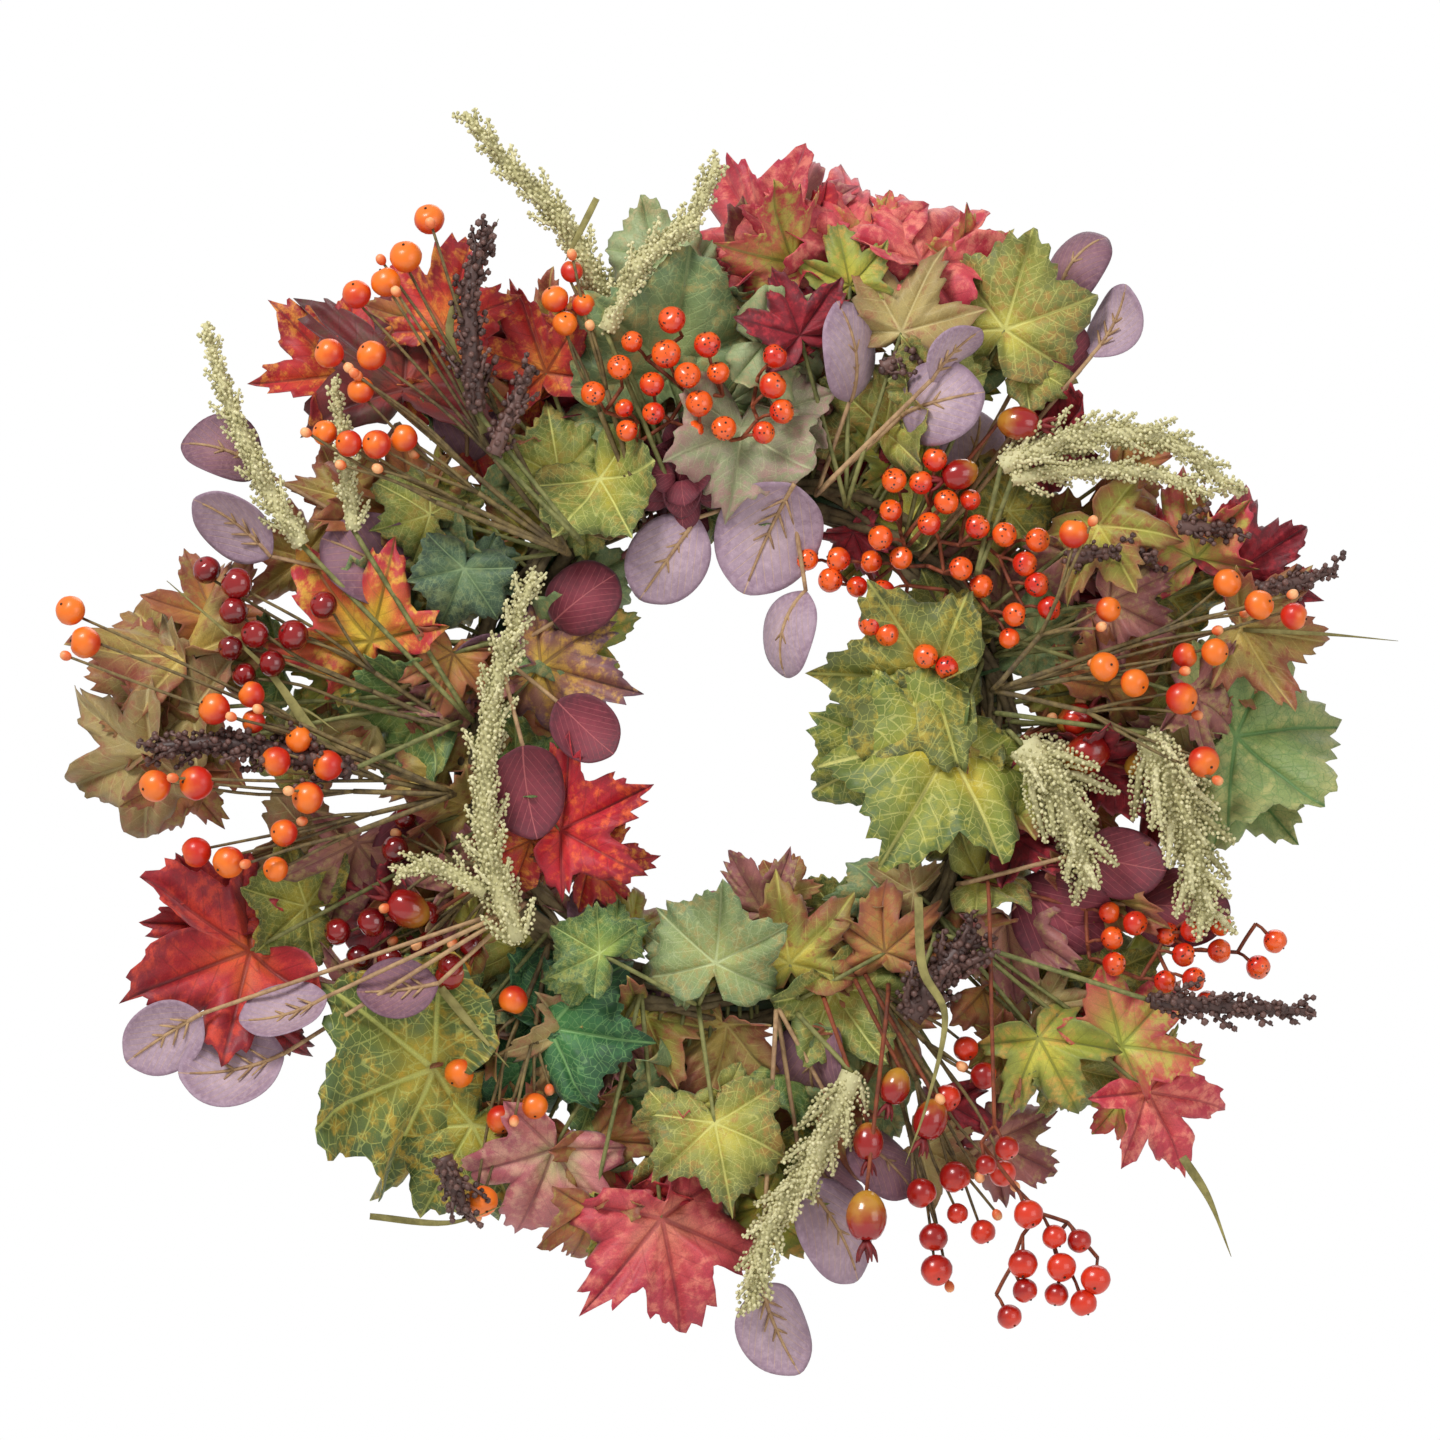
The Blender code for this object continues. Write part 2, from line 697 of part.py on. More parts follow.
def fused(meshes):
    """One body from pieces that run into each other."""
    scene_objects = bpy.context.scene.collection.objects
    base = bpy.data.objects.new("fused", meshes[0])
    scene_objects.link(base)
    tools = []
    for mesh in meshes[1:]:
        tool = bpy.data.objects.new("tool", mesh)
        tool.hide_render = True
        tool.display_type = "WIRE"
        scene_objects.link(tool)
        union = base.modifiers.new("union", "BOOLEAN")
        union.operation = "UNION"
        union.object = tool
        tools.append(tool)
    bpy.context.view_layer.update()
    graph = bpy.context.evaluated_depsgraph_get()
    mesh = bpy.data.meshes.new_from_object(base.evaluated_get(graph))
    for spent in [base] + tools:
        bpy.data.objects.remove(spent)
    bm = bmesh.new()
    bm.from_mesh(mesh)
    bmesh.ops.remove_doubles(bm, verts=bm.verts, dist=MERGE)
    bmesh.ops.dissolve_limit(bm, angle_limit=FLAT_ANGLE, verts=bm.verts, edges=bm.edges)
    spare = [edge for edge in bm.edges if not edge.link_faces]
    bmesh.ops.delete(bm, geom=spare, context="EDGES")
    bmesh.ops.triangulate(bm, faces=bm.faces)
    bm.to_mesh(mesh)
    bm.free()
    return mesh


def ring_route(radius, turns, start):
    """A closed route wound round the ring's centre line."""
    points = []
    for station in range(TWIG_STATIONS):
        clock = 2 * math.pi * station / TWIG_STATIONS
        wind = start + turns * clock
        reach = RING_RADIUS + radius * math.cos(wind)
        depth = radius * math.sin(wind)
        points.append(Vector((reach * math.sin(clock), depth, reach * math.cos(clock))))
    return points


def twig_ring(centre, wreath):
    """The hoop and the twigs wound round it."""
    nodes = []
    hoop = tube(ring_route(0, 0, 0), [HOOP_RADIUS] * TWIG_STATIONS, 0, True)
    nodes.append(add_node("core_hoop", hoop, "wire", Vector(), centre, wreath))
    for index in range(TWIG_COUNT):
        start = 2 * math.pi * index / TWIG_COUNT
        route = ring_route(TWIG_PITCH, TWIG_TURNS, start)
        twig = tube(route, [TWIG_RADIUS] * TWIG_STATIONS, 1, True)
        nodes.append(add_node(f"vine_twig_{index + 1}", twig, "twig", Vector(), centre, wreath))
    return nodes


def binding_tie(index, clock, centre, wreath):
    """A loop of binding wire round the bundle of twigs."""
    radius = BUNDLE_RADIUS + GAP + TIE_WIRE_RADIUS
    hub = place(clock, 0)
    outward = hub.normalized()
    steps = 16
    turns = [2 * math.pi * step / steps for step in range(steps)]
    route = [hub + outward * radius * math.cos(turn) + Vector((0, radius * math.sin(turn), 0))
             for turn in turns]
    wire = tube(route, [TIE_WIRE_RADIUS] * steps, 0, True)
    return add_node(f"binding_tie_{index}", wire, "wire", hub, centre, wreath)


def build_spray(name, colour, clock, carried, laid, centre, wreath):
    """One spray: what it carries, its stalks and its stem, as one body."""
    fork, lift, foot = settle(name, clock, carried, tree_of(laid))
    made = [carried_piece(order, 0, *item) for order, item in enumerate(carried)]
    meshes = stalks(fork, [root for pieces, root in made])
    meshes = meshes[-1:] + meshes[:-1] + [mesh for pieces, root in made for mesh in pieces]
    for mesh in meshes:
        mesh.transform(Matrix.Translation((0, -lift, 0)))
    lifted_fork = fork + Vector((0, -lift, 0))
    meshes.append(stem(lifted_fork, foot))
    laid += moved(shapes_of(meshes), lifted_fork, swivel_angles(name), 0)
    return add_node(name, fused(meshes), colour, lifted_fork, centre, wreath)


def main():
    for old in list(bpy.data.objects):
        bpy.data.objects.remove(old)
    wreath = bpy.data.collections.new("harvest_door_wreath")
    bpy.context.scene.collection.children.link(wreath)
    centre = bpy.data.objects.new("ring_centre", None)
    centre.location = (0, 0, -HANG_DROP)
    wreath.objects.link(centre)
    nodes = twig_ring(centre, wreath)
    nodes += [binding_tie(index + 1, clock, centre, wreath) for index, clock in enumerate(TIE_CLOCKS)]
    laid = []
    for node in nodes:
        placed = node.data.copy()
        placed.transform(Matrix.Translation(node.location))
        laid += shapes_of([placed])
    for name, colour, clock, carried in SPRAYS:
        nodes.append(build_spray(name, colour, clock, carried, laid, centre, wreath))
    bpy.context.view_layer.update()


main()
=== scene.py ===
"""Harvest door wreath: leaves, berries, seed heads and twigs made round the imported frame."""
import json
import math
import random

import bmesh
import bpy
import numpy as np
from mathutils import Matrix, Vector
from mathutils.bvhtree import BVHTree


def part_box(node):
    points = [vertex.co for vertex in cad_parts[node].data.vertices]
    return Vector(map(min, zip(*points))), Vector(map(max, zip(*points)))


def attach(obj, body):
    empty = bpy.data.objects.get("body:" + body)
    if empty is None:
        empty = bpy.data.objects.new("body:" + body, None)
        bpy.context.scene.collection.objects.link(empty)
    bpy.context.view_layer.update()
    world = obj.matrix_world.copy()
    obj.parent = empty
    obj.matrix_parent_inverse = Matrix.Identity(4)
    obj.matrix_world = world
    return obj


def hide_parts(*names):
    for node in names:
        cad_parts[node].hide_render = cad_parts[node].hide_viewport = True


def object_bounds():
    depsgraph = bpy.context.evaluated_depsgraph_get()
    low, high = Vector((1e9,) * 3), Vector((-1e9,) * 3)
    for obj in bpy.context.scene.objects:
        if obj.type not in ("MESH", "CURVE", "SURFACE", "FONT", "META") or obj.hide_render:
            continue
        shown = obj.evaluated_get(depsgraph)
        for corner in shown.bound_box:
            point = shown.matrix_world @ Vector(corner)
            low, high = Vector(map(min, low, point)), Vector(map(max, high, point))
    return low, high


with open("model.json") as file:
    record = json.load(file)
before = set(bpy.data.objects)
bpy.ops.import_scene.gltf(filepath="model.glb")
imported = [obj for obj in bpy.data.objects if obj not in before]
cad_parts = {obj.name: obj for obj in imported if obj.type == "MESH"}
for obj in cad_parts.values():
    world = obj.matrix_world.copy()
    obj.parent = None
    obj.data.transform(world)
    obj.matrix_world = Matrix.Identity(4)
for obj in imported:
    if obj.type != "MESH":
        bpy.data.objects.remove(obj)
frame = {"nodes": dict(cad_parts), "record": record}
cad_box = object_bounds()

MM = 0.001
SEED = 11
chance = random.Random(SEED)
GOLDEN_ANGLE = 2.39996

# The ring's centre is the middle of the hoop that the twigs are wound on
HOOP_WIRE_RADIUS = 2.6 * MM
hoop_low, hoop_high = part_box("core_hoop")
CENTRE = (hoop_low + hoop_high) / 2
RING_RADIUS = (hoop_high.x - hoop_low.x) / 2 - HOOP_WIRE_RADIUS
BODY_OF = {node: body for body, nodes in frame["record"]["behaviour"]["bodies"].items()
           for node in nodes}

# Finishes of each spray's leaves, from left to right
LEAVES = {
    "maple_spray_top": ("rose_deep", "parrot", "rose", "rose"),
    "maple_spray_crown": ("crimson", "moss", "khaki"),
    "silver_leaf_spray_crown_right": ("burgundy", "mauve", "lilac"),
    "ivy_spray_crown_right": ("ivy_olive", "ivy_olive"),
    "maple_spray_upper_left": ("rust_red", "ember", "ember"),
    "ivy_spray_upper_left": ("ivy_pale", "ivy_sage", "ivy_pale"),
    "ivy_spray_left": ("ivy_gold", "ivy_teal", "ivy_gold", "ivy_gold"),
    "maple_spray_far_left": ("khaki", "mottle", "khaki"),
    "maple_spray_left": ("fire", "rust"),
    "maple_spray_inner_left": ("ember", "dusk", "crimson_bright"),
    "maple_leaf_lower_left": ("ember_deep",),
    "ivy_leaf_olive": ("ivy_big",),
    "ivy_leaf_dark": ("ivy_dark",),
    "maple_spray_bottom_left": ("dusty", "rust", "rose_deep"),
    "maple_spray_bottom": ("mauve", "mottle_green", "rust"),
    "ivy_spray_bottom": ("ivy_green", "ivy_mint", "ivy_olive"),
    "maple_spray_lower_right": ("moss", "parrot", "rose"),
    "ivy_spray_inner_right": ("ivy_olive_dark", "ivy_gold_big"),
    "ivy_leaf_far_right": ("ivy_sage_bright",),
    "maple_spray_far_right": ("parrot", "crimson", "mottle"),
    "maple_spray_right": ("mottle_green", "mauve", "mauve"),
    "ivy_leaf_hanging_top": ("ivy_pinkish",),
    "silver_leaf_spray_top": ("lilac", "lilac", "lilac"),
    "silver_leaf_spray_inner_top": ("lilac", "lilac", "lilac"),
    "silver_leaf_spray_left": ("mauve", "lilac", "mauve"),
    "silver_leaf_spray_lower_left": ("lilac", "lilac", "lilac", "mauve"),
    "silver_leaf_spray_bottom": ("lilac", "lilac", "mauve"),
    "burgundy_leaf_spray_left": ("burgundy", "burgundy", "burgundy"),
    "burgundy_leaf_spray_right": ("burgundy", "burgundy", "burgundy"),
}

# Finishes that the smaller leaves beside a leaf of each finish may have
BESIDE = {
    "rose": ("rose", "scarlet", "parrot"),
    "rose_deep": ("rose_deep", "dusty", "rust", "scarlet"),
    "parrot": ("rose", "moss", "scarlet"),
    "moss": ("moss", "khaki", "mottle_green"),
    "khaki": ("khaki", "mottle", "rust"),
    "mottle": ("khaki", "mottle", "rust"),
    "rust": ("rust", "mottle", "moss"),
    "crimson": ("crimson", "scarlet", "khaki"),
    "crimson_bright": ("crimson_bright", "ember", "crimson"),
    "ember": ("ember", "rust_red", "rust"),
    "ember_deep": ("ember_deep", "crimson", "rust"),
    "rust_red": ("rust_red", "ember", "rust"),
    "fire": ("crimson", "rust", "moss"),
    "dusk": ("rust", "mauve", "moss"),
    "dusty": ("dusty", "rust", "rose_deep"),
    "mauve": ("mauve", "khaki", "mottle"),
    "mottle_green": ("mottle_green", "rust", "mauve"),
}

# Seed heads: node, route as (right, up) in mm from the ring's centre, width in mm, beads
PLUMES = (
    ("heather_spike_top_left", ((-55, 185), (-62, 208), (-80, 238), (-103, 262), (-122, 285)),
     24, "heather"),
    ("heather_spike_top", ((-58, 186), (-43, 216), (-20, 236), (-8, 262)), 22, "heather"),
    ("heather_spike_far_left", ((-195, 90), (-213, 120), (-228, 155), (-239, 190)), 21, "heather"),
    ("heather_spike_far_left", ((-172, 97), (-176, 132), (-181, 165)), 17, "heather"),
    ("heather_spike_right_top", ((120, 126), (155, 139), (195, 137), (228, 112)), 24, "heather"),
    ("heather_spike_right_top", ((125, 120), (155, 124), (190, 122), (216, 112)), 18, "heather"),
    ("heather_spike_right", ((130, 0), (146, -20), (160, -64)), 42, "heather"),
    ("heather_spike_low_right", ((187, 5), (202, -34), (213, -80)), 40, "heather"),
    ("heather_spike_bottom", ((53, -148), (36, -187), (14, -220), (7, -255)), 28, "heather"),
    ("heather_spike_inner_left", ((-98, -88), (-112, -38), (-108, 25), (-90, 78)), 25, "heather"),
    ("heather_spike_inner_left", ((-112, -66), (-136, -54), (-152, -58)), 18, "heather"),
    ("sorghum_spike_upper_left", ((-116, 150), (-119, 200), (-110, 232)), 24, "sorghum"),
    ("sorghum_spike_upper_left", ((-108, 130), (-99, 152), (-91, 170)), 18, "sorghum"),
    ("sorghum_spike_far_left", ((-172, -11), (-223, 0), (-265, -1)), 26, "sorghum"),
    ("sorghum_spike_right", ((187, -115), (223, -118), (261, -120)), 20, "sorghum"),
    ("sorghum_spike_right", ((78, -122), (94, -101), (108, -84)), 36, "sorghum"),
)

LOOSE_PLUMES = (
    (((66, 170), (84, 176), (104, 184)), 20),
    (((150, 84), (170, 86), (190, 84)), 20),
    (((200, 98), (214, 98), (230, 96)), 18),
    (((236, 70), (256, 74), (272, 80)), 17),
    (((-132, -186), (-126, -200), (-122, -212)), 24),
)
BLOSSOM = (-24, 122, 22)

# Grass blades: the spray each lies by, its route and its width in mm
GRASS = (
    ("sorghum_spike_far_left", ((-174, -10), (-190, 5), (-212, 35), (-256, 74)), 6),
    ("maple_spray_left", ((-205, -8), (-198, 16), (-178, 5)), 3),
    ("sorghum_spike_upper_left", ((-112, 140), (-128, 188), (-106, 236)), 5),
    ("ivy_leaf_olive", ((-133, -110), (-118, -128), (-102, -146)), 4),
    ("maple_spray_bottom_left", ((-165, -213), (-130, -216), (-104, -208)), 3),
    ("maple_spray_lower_right", ((202, -186), (214, -205), (224, -231)), 4),
    ("maple_spray_far_right", ((230, 52), (268, 50), (300, 47)), 2),
    ("sorghum_spike_right", ((82, -68), (84, -100), (94, -122), (86, -160), (76, -188)), 4),
    ("heather_spike_top", ((-62, 245), (-72, 225), (-76, 217)), 3),
)

# Finishes of the printed leaves, as sRGB: middle, blade, edge, patches, veins
LEAF_FINISHES = {
    "rose": ((214, 118, 92), (204, 74, 82), (188, 46, 66), (222, 132, 112), (150, 40, 52)),
    "rose_deep": ((206, 118, 96), (196, 72, 78), (176, 40, 62), (214, 122, 104), (140, 34, 48)),
    "scarlet": ((196, 60, 56), (186, 32, 50), (150, 20, 38), (214, 78, 60), (112, 14, 28)),
    "crimson": ((150, 26, 42), (134, 14, 34), (96, 10, 26), (176, 40, 52), (80, 8, 20)),
    "crimson_bright": ((206, 46, 44), (188, 24, 42), (150, 14, 34), (226, 96, 40), (108, 10, 24)),
    "fire": ((226, 196, 56), (206, 92, 44), (184, 30, 48), (214, 172, 60), (112, 96, 26)),
    "ember": ((222, 116, 44), (196, 46, 44), (150, 22, 36), (226, 150, 56), (104, 20, 24)),
    "ember_deep": ((214, 96, 40), (178, 34, 40), (136, 16, 32), (204, 66, 42), (92, 14, 22)),
    "rust_red": ((168, 62, 44), (122, 36, 38), (92, 32, 34), (84, 62, 44), (64, 22, 22)),
    "dusk": ((228, 190, 60), (158, 104, 84), (112, 74, 88), (206, 160, 66), (92, 52, 50)),
    "moss": ((198, 190, 70), (158, 162, 62), (120, 130, 56), (196, 150, 70), (104, 112, 40)),
    "khaki": ((184, 164, 100), (164, 142, 86), (140, 114, 70), (146, 88, 64), (204, 188, 132)),
    "mottle": ((194, 166, 80), (158, 136, 68), (150, 86, 56), (132, 56, 44), (204, 184, 108)),
    "mottle_green": ((200, 182, 70), (154, 152, 62), (140, 92, 52), (142, 66, 46), (204, 198, 102)),
    "rust": ((202, 152, 70), (174, 106, 58), (140, 74, 50), (150, 132, 62), (112, 62, 42)),
    "mauve": ((178, 128, 100), (160, 98, 92), (132, 72, 74), (166, 146, 92), (116, 60, 60)),
    "dusty": ((178, 168, 118), (190, 116, 112), (172, 88, 98), (196, 150, 128), (140, 74, 78)),
    "parrot": ((198, 202, 84), (206, 128, 84), (186, 36, 62), (172, 178, 74), (122, 132, 50)),
    "ivy_gold": ((190, 176, 62), (132, 142, 62), (98, 112, 54), (168, 142, 66), (206, 206, 118)),
    "ivy_gold_big": ((212, 186, 52), (130, 140, 54), (86, 106, 46), (156, 152, 54), (214, 208, 120)),
    "ivy_big": ((176, 162, 48), (96, 112, 44), (70, 90, 40), (188, 152, 46), (196, 200, 108)),
    "ivy_green": ((148, 168, 74), (92, 124, 58), (70, 98, 50), (142, 142, 64), (180, 196, 116)),
    "ivy_teal": ((98, 124, 84), (74, 100, 72), (60, 82, 62), (118, 130, 84), (134, 156, 110)),
    "ivy_dark": ((60, 120, 60), (40, 92, 46), (30, 70, 38), (48, 102, 54), (124, 168, 100)),
    "ivy_sage": ((142, 160, 98), (120, 142, 90), (98, 120, 76), (170, 148, 88), (160, 176, 116)),
    "ivy_sage_bright": ((128, 150, 82), (130, 150, 88), (150, 156, 96), (168, 164, 102), (86, 128, 66)),
    "ivy_pale": ((176, 186, 138), (164, 178, 132), (146, 158, 108), (176, 158, 116), (140, 158, 104)),
    "ivy_mint": ((170, 176, 104), (138, 154, 96), (110, 130, 84), (158, 138, 80), (184, 194, 140)),
    "ivy_olive": ((188, 178, 72), (142, 144, 62), (106, 112, 54), (164, 122, 60), (204, 200, 112)),
    "ivy_olive_dark": ((164, 154, 54), (112, 120, 48), (82, 90, 42), (176, 152, 52), (190, 188, 100)),
    "ivy_pinkish": ((150, 156, 112), (154, 148, 120), (170, 132, 122), (126, 142, 98), (176, 178, 136)),
    "lilac": ((184, 158, 166), (170, 144, 158), (150, 122, 140), (192, 170, 180), (200, 164, 128)),
    "mauve_leaf": ((146, 104, 114), (130, 88, 102), (108, 70, 86), (158, 122, 130), (176, 128, 104)),
    "burgundy": ((134, 48, 62), (118, 36, 52), (92, 26, 42), (148, 62, 74), (186, 98, 100)),
}
ROUND_FINISH = {"mauve": "mauve_leaf"}

# Half outlines, as (degrees from the tip, share of the leaf's length), mirrored about the midrib
OUTLINES = {
    "maple": ((0, 1.00), (5, 0.88), (9, 0.89), (13, 0.76), (18, 0.78), (24, 0.60), (30, 0.52),
              (36, 0.62), (41, 0.78), (45, 0.76), (53, 0.96), (58, 0.82), (63, 0.84), (68, 0.66),
              (75, 0.62), (84, 0.46), (92, 0.50), (100, 0.64), (106, 0.60), (112, 0.70), (119, 0.55),
              (128, 0.50), (140, 0.36), (156, 0.24), (174, 0.08)),
    "ivy": ((0, 1.00), (6, 0.90), (12, 0.89), (17, 0.80), (23, 0.78), (30, 0.70), (38, 0.78),
            (45, 0.86), (50, 0.84), (56, 0.93), (62, 0.84), (69, 0.80), (77, 0.70), (86, 0.66),
            (94, 0.72), (101, 0.76), (107, 0.74), (113, 0.80), (121, 0.68), (131, 0.62),
            (146, 0.52), (162, 0.40), (176, 0.14)),
}
LOBES = {"maple": (0, 53, 112), "ivy": (0, 56, 110)}
RINGS = (0.0, 0.10, 0.22, 0.36, 0.50, 0.64, 0.78, 0.90, 1.0)
EDGE_SPLIT = 2
ROUND_EDGE = 48
LEAF_THICKNESS = 0.4 * MM


def spot(right, up, depth):
    """A point from its place seen from the front, in mm, and its depth in metres."""
    return Vector((CENTRE.x + right * MM, depth, CENTRE.z + up * MM))


def linear(colour):
    """An sRGB colour as Blender's linear one."""
    shares = [channel / 255 for channel in colour]
    return tuple(c / 12.92 if c <= 0.04045 else ((c + 0.055) / 1.055) ** 2.4 for c in shares) + (1,)


# ---------------------------------------------------------------- the CAD nodes' places

def node_tree(node):
    mesh = frame["nodes"][node].data
    points = [vertex.co.copy() for vertex in mesh.vertices]
    faces = [tuple(polygon.vertices) for polygon in mesh.polygons]
    return BVHTree.FromPolygons(points, faces)


TREES = {node: node_tree(node) for node in frame["nodes"]}


def depth_at(node, right, up):
    """How far forward a CAD node's front surface is at a place."""
    start = spot(right, up, -1.0)
    hit = TREES[node].ray_cast(start, Vector((0, 1, 0)))[0]
    if hit is None:
        low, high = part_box(node)
        middle = spot(right, up, low.y * 0.6 + high.y * 0.4)
        hit = TREES[node].find_nearest(middle)[0]
    return hit.y


# How near the ring's centre line a spray's stem stands
FOOT_REACH = 15 * MM


def foot_of(node):
    """The foot of a spray's stem, among the twigs."""
    points = []
    for vertex in frame["nodes"][node].data.vertices:
        out = math.hypot(vertex.co.x - CENTRE.x, vertex.co.z - CENTRE.z)
        if abs(out - RING_RADIUS) < FOOT_REACH:
            points.append(vertex.co)
    back = max(point.y for point in points)
    near = [point for point in points if point.y > back - 0.5 * MM]
    return sum(near, Vector()) / len(near)


def facets(node):
    """The corners, middle, normal and area of each triangle of a CAD node."""
    mesh = frame["nodes"][node].data
    mesh.calc_loop_triangles()
    points = np.array([vertex.co for vertex in mesh.vertices])
    corners = np.array([triangle.vertices for triangle in mesh.loop_triangles])
    first, second, third = (points[corners[:, column]] for column in range(3))
    cross = np.cross(second - first, third - first)
    twice = np.linalg.norm(cross, axis=1)
    real = twice > 1e-9
    normals = cross[real] / twice[real][:, None]
    return points, corners[real], ((first + second + third) / 3)[real], normals, twice[real] / 2


# The CAD leaves' half outlines, which tell a leaf's heading and length from its flat blade
CAD_OUTLINES = {
    "maple": ((0, 1.00), (16, 0.78), (28, 0.46), (53, 0.92), (68, 0.68), (82, 0.42), (106, 0.64),
              (155, 0.26)),
    "ivy": ((0, 1.00), (28, 0.64), (55, 0.88), (84, 0.58), (106, 0.70), (150, 0.42)),
}
SMALLEST_BLADE = 400 * MM * MM
SAME_NORMAL = 0.004
SAME_PLANE = 0.03 * MM
# A round CAD leaf's width as a share of its length, and its ten-sided outline's share of the oval
ROUND_WIDTH = 0.92
ROUND_SHARE = 0.935
HEADINGS = 120
# A CAD berry's facets: how far its middle is below a facet, in square roots of the facet's area,
# and a facet's area, in squares of the berry's radius
BALL_DEPTH = 1.1486
BALL_FACET = 0.4788
SMALLEST_BALL, LARGEST_BALL = 3 * MM, 12 * MM
SAME_BALL = 1.2 * MM
FEWEST_FACETS = 10


def blade_template(kind):
    """A CAD leaf's corners round its middle, how far its middle is from its root, its area."""
    half = [(math.radians(turn), share) for turn, share in CAD_OUTLINES[kind]]
    right = [(share * math.sin(turn), share * math.cos(turn)) for turn, share in half]
    corners = np.array(right + [(-across, along) for across, along in right[:0:-1]])
    after = np.roll(corners, -1, axis=0)
    cross = corners[:, 0] * after[:, 1] - after[:, 0] * corners[:, 1]
    middle = ((corners + after) * cross[:, None]).sum(0) / (3 * cross.sum())
    return corners - middle, middle[1], abs(cross.sum()) / 2


TEMPLATES = {kind: blade_template(kind) for kind in CAD_OUTLINES}


def best_heading(kind, corners, middle, normal, length):
    """The way a leaf points, as the turn at which its corners match the outline best."""
    side = Vector((0, 0, 1)).cross(Vector(normal)).normalized()
    up = Vector(normal).cross(side)
    flat = np.stack([(corners - middle) @ np.array(side), (corners - middle) @ np.array(up)], 1)
    shape = TEMPLATES[kind][0] * length
    best = None
    for step in range(HEADINGS):
        turn = 2 * math.pi * step / HEADINGS
        way = np.array([[math.cos(turn), -math.sin(turn)], [math.sin(turn), math.cos(turn)]])
        apart = np.linalg.norm((shape @ way)[:, None] - flat[None], axis=2)
        gaps = apart.min(1).mean() + apart.min(0).mean()
        if best is None or gaps < best[0]:
            best = (gaps, side * math.sin(turn) + up * math.cos(turn))
    return best[1]


def leaves_of(node):
    """Each leaf of a CAD spray, from left to right: its root, length, heading and tilt."""
    kind = next((kind for kind in CAD_OUTLINES if node.startswith(kind)), "round")
    points, corners, middles, normals, areas = facets(node)
    free = normals[:, 1] < -0.5
    found = []
    for index in np.argsort(-areas):
        if not free[index]:
            continue
        aside = np.abs(((middles - middles[index]) * normals[index]).sum(1))
        same = free & (np.abs(normals - normals[index]).max(1) < SAME_NORMAL) & (aside < SAME_PLANE)
        free &= ~same
        area = areas[same].sum()
        if area < SMALLEST_BLADE:
            continue
        middle = (middles[same] * areas[same][:, None]).sum(0) / area
        if kind == "round":
            length = math.sqrt(area / (ROUND_WIDTH * math.pi * ROUND_SHARE))
            out = Vector(middle) - foot_of(node)
            ahead = Vector((out.x, 0, out.z)).normalized()
            root = Vector(middle)
        else:
            length = math.sqrt(area / TEMPLATES[kind][2])
            rim = points[np.unique(corners[same])]
            ahead = best_heading(kind, rim, middle, normals[index], length)
            root = Vector(middle) - ahead * TEMPLATES[kind][1] * length
        heading = math.degrees(math.atan2(ahead.x, ahead.z))
        tilt = math.degrees(math.asin(max(-1, min(1, -ahead.y))))
        if kind == "round":
            tilt = math.degrees(math.asin(max(-1, min(1, -normals[index][2]))))
        found.append((middle[0], kind, root, length, heading, tilt))
    return [row[1:] for row in sorted(found, key=lambda row: row[0])]


def balls_of(node):
    """Each round berry of a CAD spray, as (centre, radius), found from its flat facets."""
    points, corners, middles, normals, areas = facets(node)
    centres = middles - normals * (BALL_DEPTH * np.sqrt(areas))[:, None]
    radii = np.sqrt(areas / BALL_FACET)
    waiting = [index for index in range(len(radii)) if SMALLEST_BALL < radii[index] < LARGEST_BALL]
    found = []
    while waiting:
        first = centres[waiting[0]]
        near = [k for k in waiting if np.linalg.norm(centres[k] - first) < SAME_BALL]
        if len(near) >= FEWEST_FACETS:
            found.append((Vector(centres[near].mean(0)), radii[near].mean()))
            waiting = [k for k in waiting if k not in near]
        else:
            waiting = waiting[1:]
    return found


# ---------------------------------------------------------------- mesh building

# The door's face: what would pass behind it is pressed flat, from just behind the twigs
PRESS_FROM = cad_box[1].y - 1.5 * MM
PRESS_DEPTH = 3 * MM


def pressed(points):
    """Points with those behind the ring pressed up against the door."""
    points = np.array(points, float)
    behind = np.maximum(points[:, 1] - PRESS_FROM, 0)
    points[:, 1] = np.minimum(points[:, 1], PRESS_FROM) + PRESS_DEPTH * np.tanh(behind / PRESS_DEPTH)
    return points


